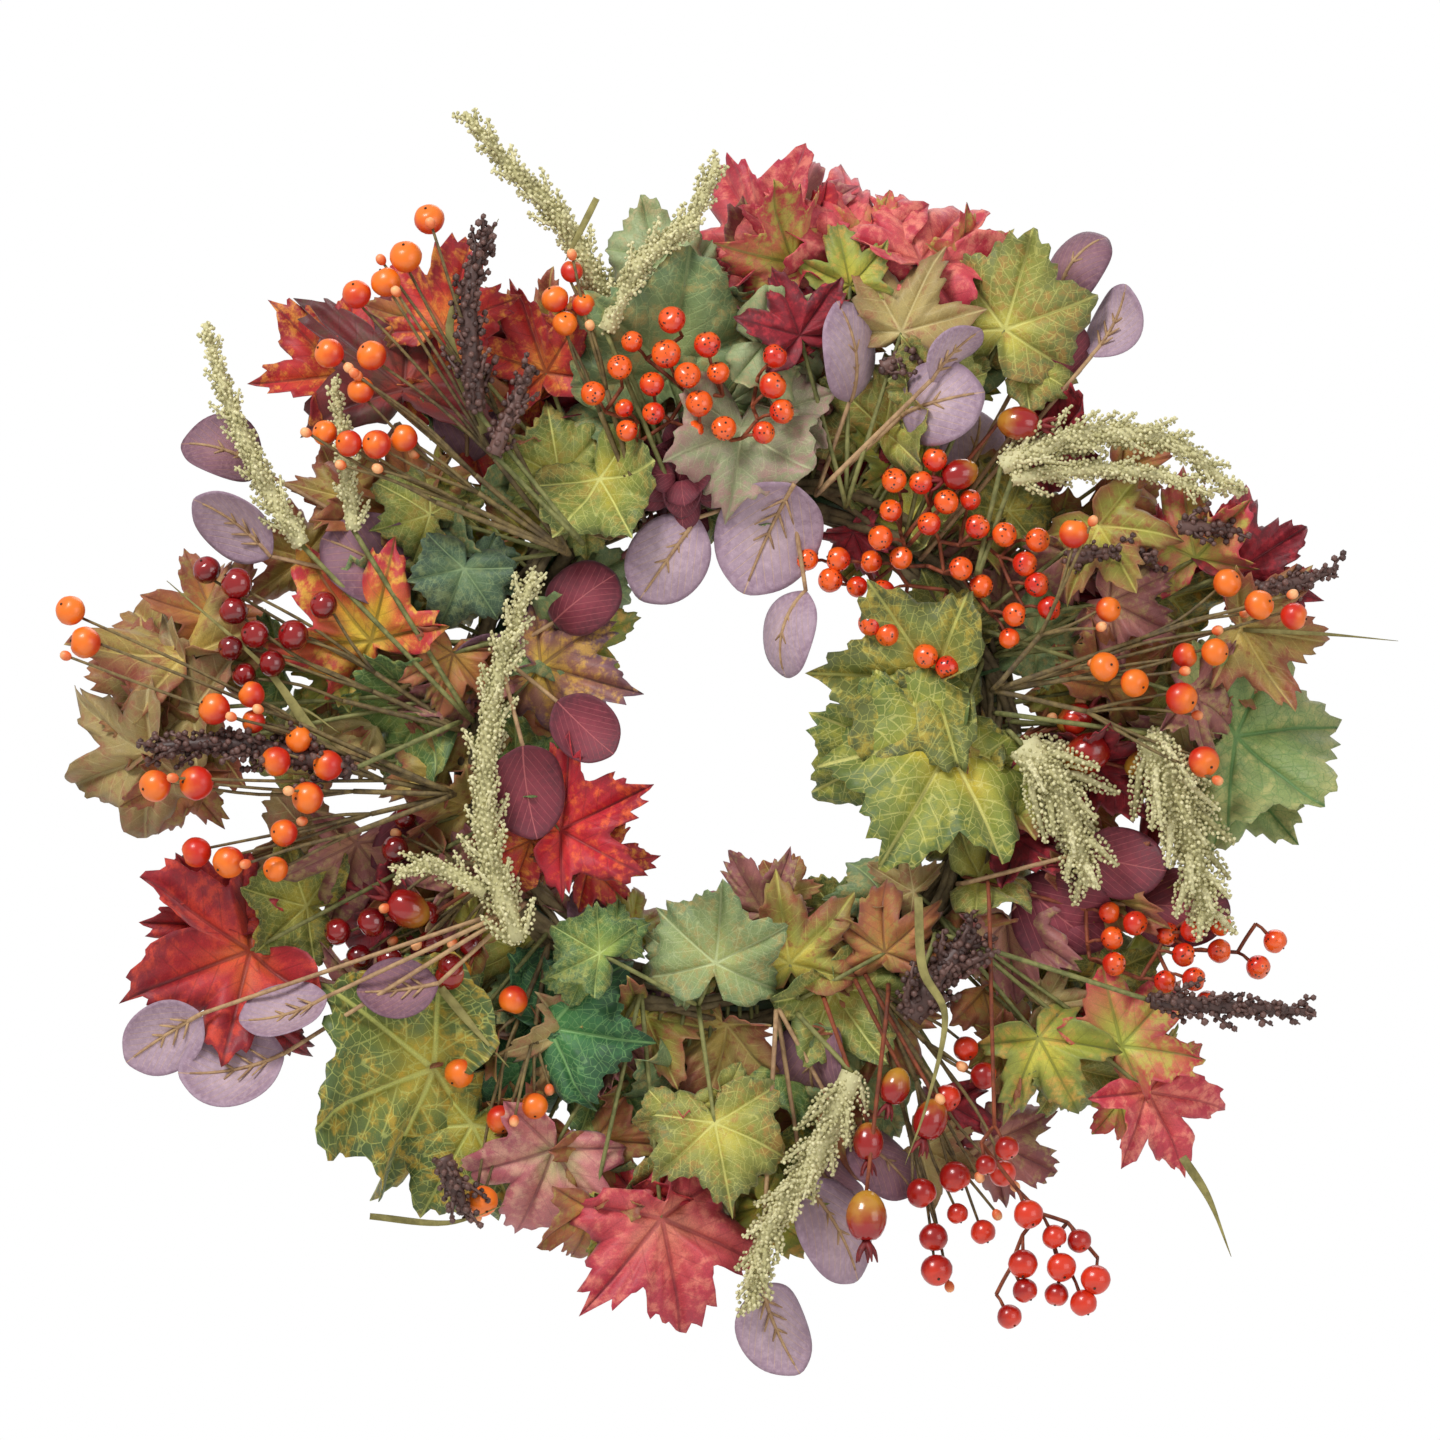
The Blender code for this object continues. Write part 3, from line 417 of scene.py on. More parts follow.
class Batch:
    """Gathers shapes into one mesh that keeps each surface's own coordinates."""

    def __init__(self):
        self.points = []
        self.faces = []
        self.slots = []
        self.leaf = []
        self.vein = []
        self.reach = []
        self.luck = []
        self.count = 0
        self.materials = []

    def add(self, points, faces, material, leaf=None, vein=None, reach=None, luck=None):
        size = len(points)
        luck = chance.random() if luck is None else luck
        if material not in self.materials:
            self.materials.append(material)
        self.points.append(pressed(points))
        self.faces += [[index + self.count for index in face] for face in faces]
        self.slots += [self.materials.index(material)] * len(faces)
        zeros = np.zeros((size, 2))
        self.leaf.append(zeros if leaf is None else leaf)
        self.vein.append(zeros if vein is None else vein)
        self.reach.append(np.zeros(size) if reach is None else reach)
        self.luck.append(np.broadcast_to(luck, size))
        self.count += size

    def build(self, name, thickness=0.0):
        mesh = bpy.data.meshes.new(name)
        mesh.from_pydata(np.concatenate(self.points).tolist(), [], self.faces)
        for material in self.materials:
            mesh.materials.append(material)
        mesh.polygons.foreach_set("material_index", self.slots)
        mesh.polygons.foreach_set("use_smooth", [True] * len(self.faces))
        corner = np.zeros(len(mesh.loops), int)
        mesh.loops.foreach_get("vertex_index", corner)
        for title, rows in (("leaf", self.leaf), ("vein", self.vein)):
            layer = mesh.uv_layers.new(name=title)
            layer.data.foreach_set("uv", np.concatenate(rows)[corner].ravel())
        for title, values in (("reach", self.reach), ("luck", self.luck)):
            attribute = mesh.attributes.new(title, "FLOAT", "POINT")
            attribute.data.foreach_set("value", np.concatenate(values))
        mesh.update()
        piece = bpy.data.objects.new(name, mesh)
        bpy.context.scene.collection.objects.link(piece)
        if thickness:
            solid = piece.modifiers.new("thickness", "SOLIDIFY")
            solid.thickness = thickness
            solid.offset = 0
        return piece


def curve_through(knots, steps=6):
    """A smooth curve through its knots."""
    knots = [2 * knots[0] - knots[1]] + list(knots) + [2 * knots[-1] - knots[-2]]
    points = []
    for before, start, end, after in zip(knots, knots[1:], knots[2:], knots[3:]):
        for step in range(steps):
            t = step / steps
            bend = 2 * before - 5 * start + 4 * end - after
            twist = 3 * start - before - 3 * end + after
            points.append((2 * start + (end - before) * t + bend * t ** 2 + twist * t ** 3) / 2)
    return points + [knots[-2]]


def frames_along(points):
    """(along, side, up) at each point of a curve, turning as little as it can."""
    rows = []
    side = None
    for index, point in enumerate(points):
        ahead = points[min(index + 1, len(points) - 1)] - points[max(index - 1, 0)]
        along = ahead.normalized()
        if side is None:
            side = along.orthogonal().normalized()
        side = (side - along * side.dot(along)).normalized()
        rows.append((along, side, along.cross(side)))
    return rows


def add_tube(batch, points, radii, material, sides=7):
    """A round stem with closed ends."""
    rows = []
    for point, radius, (along, side, up) in zip(points, radii, frames_along(points)):
        for step in range(sides):
            turn = 2 * math.pi * step / sides
            rows.append(point + (side * math.cos(turn) + up * math.sin(turn)) * radius)
    faces = []
    for ring in range(len(points) - 1):
        for step in range(sides):
            here = ring * sides + step
            beside = ring * sides + (step + 1) % sides
            faces.append((here, beside, beside + sides, here + sides))
    faces.append(tuple(range(sides))[::-1])
    faces.append(tuple(len(rows) - sides + step for step in range(sides)))
    lengths = np.repeat(np.linspace(0, 1, len(points)), sides)
    around = np.tile(np.arange(sides) / sides, len(points))
    batch.add(rows, faces, material, np.stack([around, lengths * 8], 1), None, lengths)


def ball_parts(make, **sizes):
    """The points and faces of a ball of radius 1, with its faces in the same order each run."""
    bm = bmesh.new()
    make(bm, radius=1, **sizes)
    points = np.array([vertex.co for vertex in bm.verts])
    faces = []
    for face in bm.faces:
        corners = [vertex.index for vertex in face.verts]
        first = corners.index(min(corners))
        faces.append(corners[first:] + corners[:first])
    bm.free()
    return points, sorted(faces)


BERRY_POINTS, BERRY_FACES = ball_parts(bmesh.ops.create_uvsphere, u_segments=20, v_segments=12)
BEAD_POINTS, BEAD_FACES = ball_parts(bmesh.ops.create_icosphere, subdivisions=1)


def add_beads(batch, centres, sizes, material):
    """Many small beads at once, each with its own shade."""
    centres, sizes = np.array(centres), np.array(sizes)
    points = (BEAD_POINTS[None] * sizes[:, None, None] + centres[:, None]).reshape(-1, 3)
    corners = np.array(BEAD_FACES)
    steps = np.arange(len(sizes)) * len(BEAD_POINTS)
    faces = (corners[None] + steps[:, None, None]).reshape(-1, 3).tolist()
    shades = np.repeat([chance.random() for _ in sizes], len(BEAD_POINTS))
    batch.add(points, faces, material, luck=shades)


def turn_to(direction):
    """A rotation that takes +Z to a direction."""
    return np.array(direction.to_track_quat("Z", "Y").to_matrix())


def add_berry(batch, centre, radius, direction, material, tip_material, stretch=1.0):
    """A berry whose far end, away from its stem, has a small dimple and a dark point."""
    shape = BERRY_POINTS.copy()
    height = shape[:, 2].copy()
    waist = 1 - 0.06 * np.abs(height) + 0.02 * np.sin(3 * np.arctan2(shape[:, 1], shape[:, 0]))
    shape[:, :2] *= waist[:, None]
    shape[:, 2] *= stretch
    shape[:, 2] -= 0.16 * np.clip(height - 0.82, 0, 1) / 0.18
    turn = turn_to(direction)
    points = shape @ turn.T * radius + np.array(centre)
    surface = np.stack([np.arctan2(shape[:, 1], shape[:, 0]) / math.pi, height], 1)
    batch.add(points, BERRY_FACES, material, surface, None, (height + 1) / 2)
    nub = BEAD_POINTS * 0.10 * radius
    nub = nub + np.array(centre) + np.array(direction) * radius * (stretch - 0.14)
    batch.add(nub, BEAD_FACES, tip_material)


def leaf_edge(kind):
    """The points round a leaf's edge, in leaf lengths."""
    if kind == "round":
        turns = np.linspace(0, 2 * math.pi, ROUND_EDGE, endpoint=False)
        pointed = 1 + 0.07 * np.exp(-(np.sin(turns) / 0.30) ** 2)
        return np.stack([0.86 * np.sin(turns), np.cos(turns) * pointed], 1)
    half = [(math.radians(turn), share) for turn, share in OUTLINES[kind]]
    right = [(share * math.sin(turn), share * math.cos(turn)) for turn, share in half]
    corners = right + [(-across, along) for across, along in right[:0:-1]]
    edge = []
    for start, end in zip(corners, corners[1:] + corners[:1]):
        for step in range(EDGE_SPLIT):
            t = step / EDGE_SPLIT
            edge.append((start[0] + (end[0] - start[0]) * t, start[1] + (end[1] - start[1]) * t))
    return np.array(edge)


def vein_places(kind, flat):
    """How far along its nearest main vein each point is, and how far to the side of it."""
    if kind == "round":
        return np.stack([(flat[:, 1] + 1) / 2, np.abs(flat[:, 0])], 1)
    best = None
    for lobe in LOBES[kind]:
        turn = math.radians(lobe)
        along = np.abs(flat[:, 0]) * math.sin(turn) + flat[:, 1] * math.cos(turn)
        across = np.abs(np.abs(flat[:, 0]) * math.cos(turn) - flat[:, 1] * math.sin(turn))
        across = np.where(along < 0, np.hypot(flat[:, 0], flat[:, 1]), across)
        rows = np.stack([np.maximum(along, 0), across], 1)
        if best is None:
            best = rows
        else:
            best = np.where((across < best[:, 1])[:, None], rows, best)
    return best


def rolled(values, bend):
    """Lengths along a sheet bent to an even curve, and how far that lifts each point."""
    return np.sin(values * bend) / bend, (np.cos(values * bend) - 1) / bend


def forward_or_back():
    """Most leaves curl back from the front, and some curl forward, less."""
    return 1 if chance.random() < 0.7 else -0.6


def add_leaf(batch, kind, root, length, heading, tilt, finish, bend=1.0, roll=None):
    """A moulded silk leaf: cupped, folded along its veins and a little crumpled."""
    edge = leaf_edge(kind)
    count = len(edge)
    phase = [chance.uniform(0, 6.28) for _ in range(6)]
    if kind != "round":
        steps = np.arange(count)
        ragged = 0.035 * np.sin(steps * 1.7 + phase[0])
        wavy = 0.05 * np.sin(steps * 0.31 + phase[5])
        edge = edge * (1 + ragged + wavy)[:, None]
    flat = np.concatenate([np.zeros((1, 2))] + [edge * share for share in RINGS[1:]])
    reach = np.concatenate([[0.0]] + [np.full(count, share) for share in RINGS[1:]])
    vein = vein_places(kind, flat)
    across, along = flat[:, 0], flat[:, 1]
    fold = chance.uniform(0.05, 0.30) * bend
    wave = chance.uniform(0.03, 0.07) * bend
    if kind == "round":
        lift = 0.5 * fold * np.abs(across) + 0.04 * bend * np.sin(3 * along + phase[0]) * across
    else:
        lift = fold * np.abs(across)
        puff = np.sin(np.clip(vein[:, 1] / 0.30, 0, 1) * math.pi)
        lift += 0.07 * bend * puff * np.clip(reach * 1.6, 0, 1)
        lift -= 0.03 * np.exp(-(vein[:, 1] / 0.025) ** 2) * np.clip(reach * 3, 0, 1)
        lift += wave * reach * np.sin(5.2 * along + phase[1]) * np.cos(4.3 * across + phase[2])
        lift += 0.7 * wave * reach ** 2 * np.sin(11 * along + 7 * across + phase[3])
        turn = np.arctan2(across, along)
        lift += 0.16 * bend * reach ** 3 * np.sin(2 * turn + phase[4])
        lift += 0.08 * bend * reach ** 3 * np.sin(5 * turn + phase[5])
    lift -= lift[0]
    ways = (0.35, 1.0) if kind == "round" else (0.25, 1.15)
    along, drop = rolled(along, chance.uniform(*ways) * bend * forward_or_back())
    across, sink = rolled(across, chance.uniform(*ways) * bend * forward_or_back())
    lift = lift + drop + sink
    lean = math.radians(tilt)
    turn = math.radians(heading)
    if roll is None:
        roll = chance.uniform(-24, 24) * bend
    twist = math.radians(roll)
    side = Vector((math.cos(turn), 0, -math.sin(turn)))
    ahead = Vector((math.sin(turn), 0, math.cos(turn))) * math.cos(lean)
    ahead += Vector((0, -1, 0)) * math.sin(lean)
    front = side.cross(ahead)
    side, front = (side * math.cos(twist) + front * math.sin(twist),
                   front * math.cos(twist) - side * math.sin(twist))
    basis = np.array([side, ahead, front])
    points = np.stack([across, along, lift], 1) * length @ basis + np.array(root)
    faces = [(0, 1 + (step + 1) % count, 1 + step) for step in range(count)]
    for ring in range(len(RINGS) - 2):
        first = 1 + ring * count
        for step in range(count):
            beside = (step + 1) % count
            faces.append((first + beside, first + count + beside, first + count + step,
                          first + step))
    batch.add(points, faces, finish, flat, vein, reach)
    return points, basis


def add_ribs(batch, points, front):
    """The raised ribs down the back of a silver-dollar leaf's stalk and over its blade."""
    ring = len(RINGS) - 1
    low = [points[1 + k * ROUND_EDGE + ROUND_EDGE // 2] for k in range(ring - 1, -1, -1)]
    high = [points[1 + k * ROUND_EDGE] for k in range(0, ring - 2)]
    middle = [Vector(point) + front * 0.35 * MM for point in low + [points[0]] + high]
    add_tube(batch, middle, np.linspace(0.95, 0.35, len(middle)) * MM, TAN_STEM, 6)
    for place in (3, 5, 8):
        for side in (1, -1):
            start = middle[min(place, len(middle) - 1)]
            shift = side * ROUND_EDGE // 8 % ROUND_EDGE
            inner = points[1 + 2 * ROUND_EDGE + shift] - points[0]
            way = Vector(inner) * (1.25 if place < 8 else 0.8)
            add_tube(batch, [start, start + way * 0.5, start + way],
                     [0.55 * MM, 0.45 * MM, 0.2 * MM], TAN_STEM, 5)


# ---------------------------------------------------------------- materials

class Shader:
    """A short way to wire a procedural material."""

    def __init__(self, name, roughness):
        self.material = bpy.data.materials.new(name)
        self.material.use_nodes = True
        self.nodes = self.material.node_tree.nodes
        self.links = self.material.node_tree.links
        self.surface = self.nodes["Principled BSDF"]
        self.surface.inputs["Roughness"].default_value = roughness

    def link(self, value, socket):
        if isinstance(value, (int, float, tuple)):
            socket.default_value = value
        else:
            self.links.new(value, socket)

    def math(self, operation, first, second=0.0, third=0.0):
        node = self.nodes.new("ShaderNodeMath")
        node.operation = operation
        for value, socket in zip((first, second, third), node.inputs):
            self.link(value, socket)
        return node.outputs[0]

    def band(self, value, low, high, start=0.0, end=1.0):
        node = self.nodes.new("ShaderNodeMapRange")
        node.interpolation_type = "SMOOTHSTEP"
        for socket, item in zip(node.inputs, (value, low, high, start, end)):
            self.link(item, socket)
        return node.outputs[0]

    def mix(self, share, first, second, blend="MIX"):
        node = self.nodes.new("ShaderNodeMix")
        node.data_type = "RGBA"
        node.blend_type = blend
        self.link(share, node.inputs[0])
        self.link(first, node.inputs[6])
        self.link(second, node.inputs[7])
        return node.outputs[2]

    def attribute(self, name):
        node = self.nodes.new("ShaderNodeAttribute")
        node.attribute_name = name
        return node.outputs["Fac"]

    def place(self, layer, luck=None):
        """A surface's own coordinates, shifted for each piece if luck is given."""
        node = self.nodes.new("ShaderNodeUVMap")
        node.uv_map = layer
        if luck is None:
            return node.outputs[0]
        shift = self.nodes.new("ShaderNodeCombineXYZ")
        self.link(self.math("MULTIPLY", luck, 37.0), shift.inputs[2])
        add = self.nodes.new("ShaderNodeVectorMath")
        add.operation = "ADD"
        self.links.new(node.outputs[0], add.inputs[0])
        self.links.new(shift.outputs[0], add.inputs[1])
        return add.outputs[0]

    def world_place(self):
        return self.nodes.new("ShaderNodeTexCoord").outputs["Object"]

    def parts(self, vector):
        node = self.nodes.new("ShaderNodeSeparateXYZ")
        self.links.new(vector, node.inputs[0])
        return node.outputs

    def noise(self, vector, scale, detail=3.0, rough=0.5):
        node = self.nodes.new("ShaderNodeTexNoise")
        self.links.new(vector, node.inputs["Vector"])
        node.inputs["Scale"].default_value = scale
        node.inputs["Detail"].default_value = detail
        node.inputs["Roughness"].default_value = rough
        return node.outputs[0]

    def cells(self, vector, scale, feature="DISTANCE_TO_EDGE"):
        node = self.nodes.new("ShaderNodeTexVoronoi")
        node.feature = feature
        self.links.new(vector, node.inputs["Vector"])
        node.inputs["Scale"].default_value = scale
        return node.outputs["Distance"]

    def colour(self, value):
        self.link(value, self.surface.inputs["Base Color"])

    def bump(self, height, strength, distance):
        node = self.nodes.new("ShaderNodeBump")
        node.inputs["Strength"].default_value = strength
        node.inputs["Distance"].default_value = distance
        self.links.new(height, node.inputs["Height"])
        self.links.new(node.outputs[0], self.surface.inputs["Normal"])


def leaf_material(name, kind):
    """A printed leaf: shaded from its middle to its edge, patched, veined and woven."""
    middle, blade, edge, patch, vein = [linear(c) for c in LEAF_FINISHES[name]]
    shader = Shader(f"{name}_{kind}", 0.58)
    luck = shader.attribute("luck")
    reach = shader.attribute("reach")
    place = shader.place("leaf", luck)
    along, across, _ = shader.parts(shader.place("vein"))
    broad = shader.noise(place, 1.7, 2.0)
    fine = shader.noise(place, 9.0, 5.0, 0.65)
    weave = shader.noise(place, 120.0, 1.0)
    spread = shader.math("ADD", reach, shader.math("MULTIPLY_ADD", broad, 1.1, -0.55))
    colour = shader.mix(shader.band(spread, 0.05, 0.55), middle, blade)
    colour = shader.mix(shader.band(spread, 0.50, 1.05), colour, edge)
    spots = shader.band(shader.math("ADD", fine, shader.math("MULTIPLY", broad, 0.4)), 0.66, 0.86)
    spots = shader.math("MULTIPLY", spots, 0.25 if kind == "round" else 0.75)
    colour = shader.mix(spots, colour, patch)
    width = shader.math("MULTIPLY_ADD", along, -0.010, 0.017)
    main = shader.band(shader.math("SUBTRACT", across, width), -0.004, 0.010, 1.0, 0.0)
    slope = 0.9 if kind == "round" else 1.0
    run = shader.math("SUBTRACT", along, shader.math("MULTIPLY", across, slope))
    comb = shader.math("FRACT", shader.math("MULTIPLY", run, 7.0 if kind == "round" else 6.5))
    near = shader.math("ABSOLUTE", shader.math("SUBTRACT", comb, 0.5))
    fade = shader.band(reach, 0.72, 0.98, 1.0, 0.0)
    side = shader.math("MULTIPLY", shader.band(near, 0.02, 0.075, 1.0, 0.0), fade)
    net = shader.band(shader.cells(place, 13.0), 0.0, 0.055, 1.0, 0.0)
    weights = {"ivy": (0.85, 0.45, 0.50), "maple": (0.60, 0.30, 0.12), "round": (0.80, 0.50, 0.0)}
    main_share, side_share, net_share = weights[kind]
    veins = shader.math("MAXIMUM", shader.math("MULTIPLY", main, main_share),
                        shader.math("MULTIPLY", side, side_share))
    veins = shader.math("MAXIMUM", veins, shader.math("MULTIPLY", net, net_share))
    colour = shader.mix(veins, colour, vein)
    tone = shader.band(shader.math("ADD", shader.math("MULTIPLY", weave, 0.5),
                                   shader.math("MULTIPLY", fine, 0.5)), 0.3, 0.7, 0.80, 1.16)
    shade = shader.nodes.new("ShaderNodeCombineXYZ")
    for socket in shade.inputs:
        shader.link(tone, socket)
    colour = shader.mix(1.0, colour, shade.outputs[0], "MULTIPLY")
    shader.colour(colour)
    shader.link(shader.band(fine, 0.3, 0.7, 0.50, 0.68), shader.surface.inputs["Roughness"])
    shader.surface.inputs["Sheen Weight"].default_value = 0.12
    shader.surface.inputs["Sheen Roughness"].default_value = 0.5
    sunk = shader.math("MULTIPLY", veins, -0.8)
    height = shader.math("ADD", sunk, shader.math("MULTIPLY", weave, 0.25))
    height = shader.math("ADD", height, shader.math("MULTIPLY", fine, 0.5))
    shader.bump(height, 0.55, 0.5 * MM)
    return shader.material


def berry_material(name, tip, base, roughness, specks=0.0, coat=0.0, stray=0.8, lift=0.0):
    """A berry shaded from its stem end to its tip, with specks if it has them."""
    shader = Shader(name, roughness)
    reach = shader.attribute("reach")
    luck = shader.attribute("luck")
    place = shader.world_place()
    cloud = shader.noise(place, 140.0, 3.0)
    turn = shader.math("ADD", reach, shader.math("MULTIPLY_ADD", cloud, 0.7, -0.35))
    turn = shader.math("ADD", turn, shader.math("MULTIPLY_ADD", luck, stray, lift - stray / 2))
    colour = shader.mix(shader.band(turn, 0.15, 0.85), linear(base), linear(tip))
    if specks:
        dots = shader.band(shader.cells(place, 520.0, "F1"), 0.24, 0.34, 1.0, 0.0)
        patch = shader.band(shader.noise(place, 150.0, 2.0), 0.44, 0.54)
        colour = shader.mix(shader.math("MULTIPLY", shader.math("MULTIPLY", dots, patch), specks),
                            colour, linear((38, 16, 10)))
    shader.colour(colour)
    shader.surface.inputs["Coat Weight"].default_value = coat
    shader.surface.inputs["Coat Roughness"].default_value = 0.12
    shader.bump(shader.noise(place, 700.0, 3.0), 0.25, 0.2 * MM)
    return shader.material


def bead_material(name, dark, light, roughness=0.75):
    """Small beads, each with its own shade."""
    shader = Shader(name, roughness)
    luck = shader.attribute("luck")
    grain = shader.noise(shader.world_place(), 900.0, 2.0)
    shade = shader.math("MULTIPLY", luck, 0.75)
    share = shader.math("ADD", shade, shader.math("MULTIPLY", grain, 0.35))
    shader.colour(shader.mix(share, linear(dark), linear(light)))
    shader.bump(grain, 0.5, 0.3 * MM)
    return shader.material


def stem_material(name, dark, light, scale=260.0, roughness=0.7, depth=0.4):
    """A stem, wire wrap or bark, mottled with fine grain and broader patches."""
    shader = Shader(name, roughness)
    place = shader.world_place()
    grain = shader.noise(place, scale, 5.0, 0.65)
    broad = shader.noise(place, scale / 9, 2.0)
    share = shader.band(shader.math("ADD", shader.math("MULTIPLY", grain, 0.65),
                                    shader.math("MULTIPLY", broad, 0.35)), 0.32, 0.68)
    shader.colour(shader.mix(share, linear(dark), linear(light)))
    shader.bump(grain, 0.8, depth * MM)
    return shader.material


FINISHES = {}


def leaf_finish(kind, name):
    name = ROUND_FINISH.get(name, name) if kind == "round" else name
    if (name, kind) not in FINISHES:
        FINISHES[name, kind] = leaf_material(name, kind)
    return FINISHES[name, kind]


WIRE = stem_material("wire_stem", (70, 56, 34), (132, 112, 66))
RED_STEM = stem_material("red_stem", (88, 38, 22), (150, 74, 40))
GREEN_STEM = stem_material("green_stem", (84, 88, 44), (142, 140, 82))
TAN_STEM = stem_material("tan_stem", (140, 106, 78), (190, 156, 112))
BARK = stem_material("vine_bark", (64, 52, 34), (128, 112, 78), 170.0, 0.85, 0.9)
GREEN_WIRE = stem_material("green_wire", (44, 66, 40), (70, 98, 58), 300.0, 0.5, 0.2)
GRASS_BLADE = stem_material("grass_blade", (104, 96, 48), (160, 150, 88), 120.0, 0.7, 0.3)
NUB = stem_material("berry_point", (40, 22, 12), (70, 42, 24), 500.0, 0.8, 0.1)
ORANGE = berry_material("orange_skin", (238, 116, 26), (200, 36, 18), 0.36, 0.0, 0.2)
SPECKLED = berry_material("speckled_skin", (236, 92, 22), (206, 36, 16), 0.24, 0.95, 0.5)
DARK_RED = berry_material("dark_red_skin", (140, 16, 18), (92, 6, 12), 0.16, 0.0, 0.7)
SCARLET = berry_material("scarlet_skin", (212, 50, 20), (150, 14, 8), 0.28, 0.0, 0.35)
HIP_SKIN = berry_material("hip_skin", (150, 22, 20), (190, 138, 48), 0.20, 0.0, 0.5, 0.4, 0.22)
CALYX = stem_material("hip_calyx", (84, 14, 20), (138, 34, 34), 300.0, 0.6, 0.2)
BUD = berry_material("peach_bud", (244, 176, 120), (222, 104, 52), 0.45)
HEATHER = bead_material("heather_bead", (164, 158, 104), (230, 223, 178))
SORGHUM = bead_material("sorghum_bead", (46, 28, 26), (112, 80, 72), 0.5)

# What each fruiting spray carries: skin, stem, share of berries that have another beside, buds
BERRY_SKIN = {
    "orange_berry_spray_upper_left": (ORANGE, WIRE, 0.5, 10),
    "orange_berry_spray_top": (ORANGE, WIRE, 0.3, 2),
    "orange_berry_spray_left": (ORANGE, WIRE, 0.5, 7),
    "orange_berry_spray_right": (ORANGE, WIRE, 0.5, 9),
    "orange_berry_spray_bottom": (ORANGE, WIRE, 0.2, 3),
    "speckled_berry_spray_top": (SPECKLED, RED_STEM, 0.9, 0),
    "speckled_berry_spray_right": (SPECKLED, RED_STEM, 0.9, 0),
    "speckled_berry_spray_inner_right": (SPECKLED, RED_STEM, 0.6, 0),
    "speckled_berry_spray_low_right": (SPECKLED, RED_STEM, 1.0, 0),
    "dark_berry_cluster_left": (DARK_RED, WIRE, 0.8, 0),
    "rose_hip_spray_lower_left": (DARK_RED, WIRE, 0.9, 5),
    "rose_hip_spray_right": (SCARLET, RED_STEM, 0.5, 3),
    "hanging_berry_strand_long": (SCARLET, WIRE, 0.6, 7),
    "hanging_berry_strand_short": (SCARLET, RED_STEM, 0.5, 0),
    "hanging_rose_hip": (SCARLET, RED_STEM, 0.0, 0),
}
# Rose hips: right and up in mm from the ring's centre, radius in mm, clock angle of the crown
HIPS = {
    "rose_hip_spray_lower_left": ((-148, -74, 11, 300), (-128, -104, 9, 250)),
    "rose_hip_spray_right": ((159, -4, 12, 60), (186, -9, 10, 80), (154, 12, 9, 60)),
    "hanging_rose_hip": ((59, -212, 12, 180),),
}
LOOSE_HIPS = ((128, 145, 10, 95), (101, 122, 9, 250), (72, -154, 9, 200), (88, -169, 10, 200),
              (60, -179, 9, 180))
PLUME_BEADS = {
    "heather": (HEATHER, GREEN_STEM, 0.95),
    "sorghum": (SORGHUM, GREEN_STEM, 1.7),
}


# ---------------------------------------------------------------- the pieces

def seat(piece, node):
    """A piece moves with its spray's body, and takes the place of its CAD solid."""
    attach(piece, BODY_OF[node])
    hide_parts(node)


def stalk_route(foot, end, sag=0.0):
    """A stalk's curve: out of the twigs to the front, then over to what it carries."""
    reach = (end - foot).length
    first = foot + Vector((0, (end.y - foot.y) * 0.75, 0)) + (end - foot) * 0.10
    middle = foot.lerp(end, 0.55) + Vector((0, (end.y - foot.y) * 0.35, -sag * reach))
    middle.y = max(middle.y, end.y)
    return curve_through([foot, first, middle, end], 5)


def add_round(batch, root, length, heading, tilt, finish, bend=1.0, roll=None):
    points, basis = add_leaf(batch, "round", root, length, heading, tilt,
                             leaf_finish("round", finish), bend, roll)
    if finish != "burgundy":
        add_ribs(batch, points, Vector(basis[2]))
    return Vector(points[1 + (len(RINGS) - 2) * ROUND_EDGE + ROUND_EDGE // 2])


def add_beside(batch, kind, root, length, heading, finish):
    """Two smaller leaves of the same pick, half hidden behind a leaf."""
    for side in (-1, 1):
        turn = math.radians(heading + side * chance.uniform(60, 150))
        shift = Vector((math.sin(turn), 0, math.cos(turn))) * length * chance.uniform(0.28, 0.50)
        place = root + shift + Vector((0, chance.uniform(5, 11) * MM, 0))
        if kind == "maple":
            name = chance.choice(BESIDE[finish])
        else:
            name = finish
        size = max(20 * MM, length * chance.uniform(0.55, 0.80))
        add_leaf(batch, kind, place, size, heading + side * chance.uniform(15, 75),
                 chance.uniform(-22, 6), leaf_finish(kind, name), 0.75)


def leaf_sprays():
    for node, finishes in LEAVES.items():
        batch = Batch()
        foot = foot_of(node)
        for (kind, root, length, heading, tilt), finish in zip(leaves_of(node), finishes):
            if kind == "round":
                heading += chance.uniform(-30, 30)
                roll = chance.choice((-48, -28, -12, 0, 8, 20, 40))
                roll *= 0.3 if finish == "burgundy" else 1
                end = add_round(batch, root, length * 1.1, heading, tilt, finish, 1.0, roll)
            else:
                add_leaf(batch, kind, root, length * 1.10, heading, tilt, leaf_finish(kind, finish))
                add_beside(batch, kind, root, length, heading, finish)
                end = root + Vector((0, 0.8 * MM, 0))
            route = stalk_route(foot, end)
            stalk = TAN_STEM if kind == "round" else GREEN_STEM
            add_tube(batch, route, np.linspace(1.0, 0.8, len(route)) * MM, stalk)
        seat(batch.build(f"{node}_leaves", LEAF_THICKNESS), node)


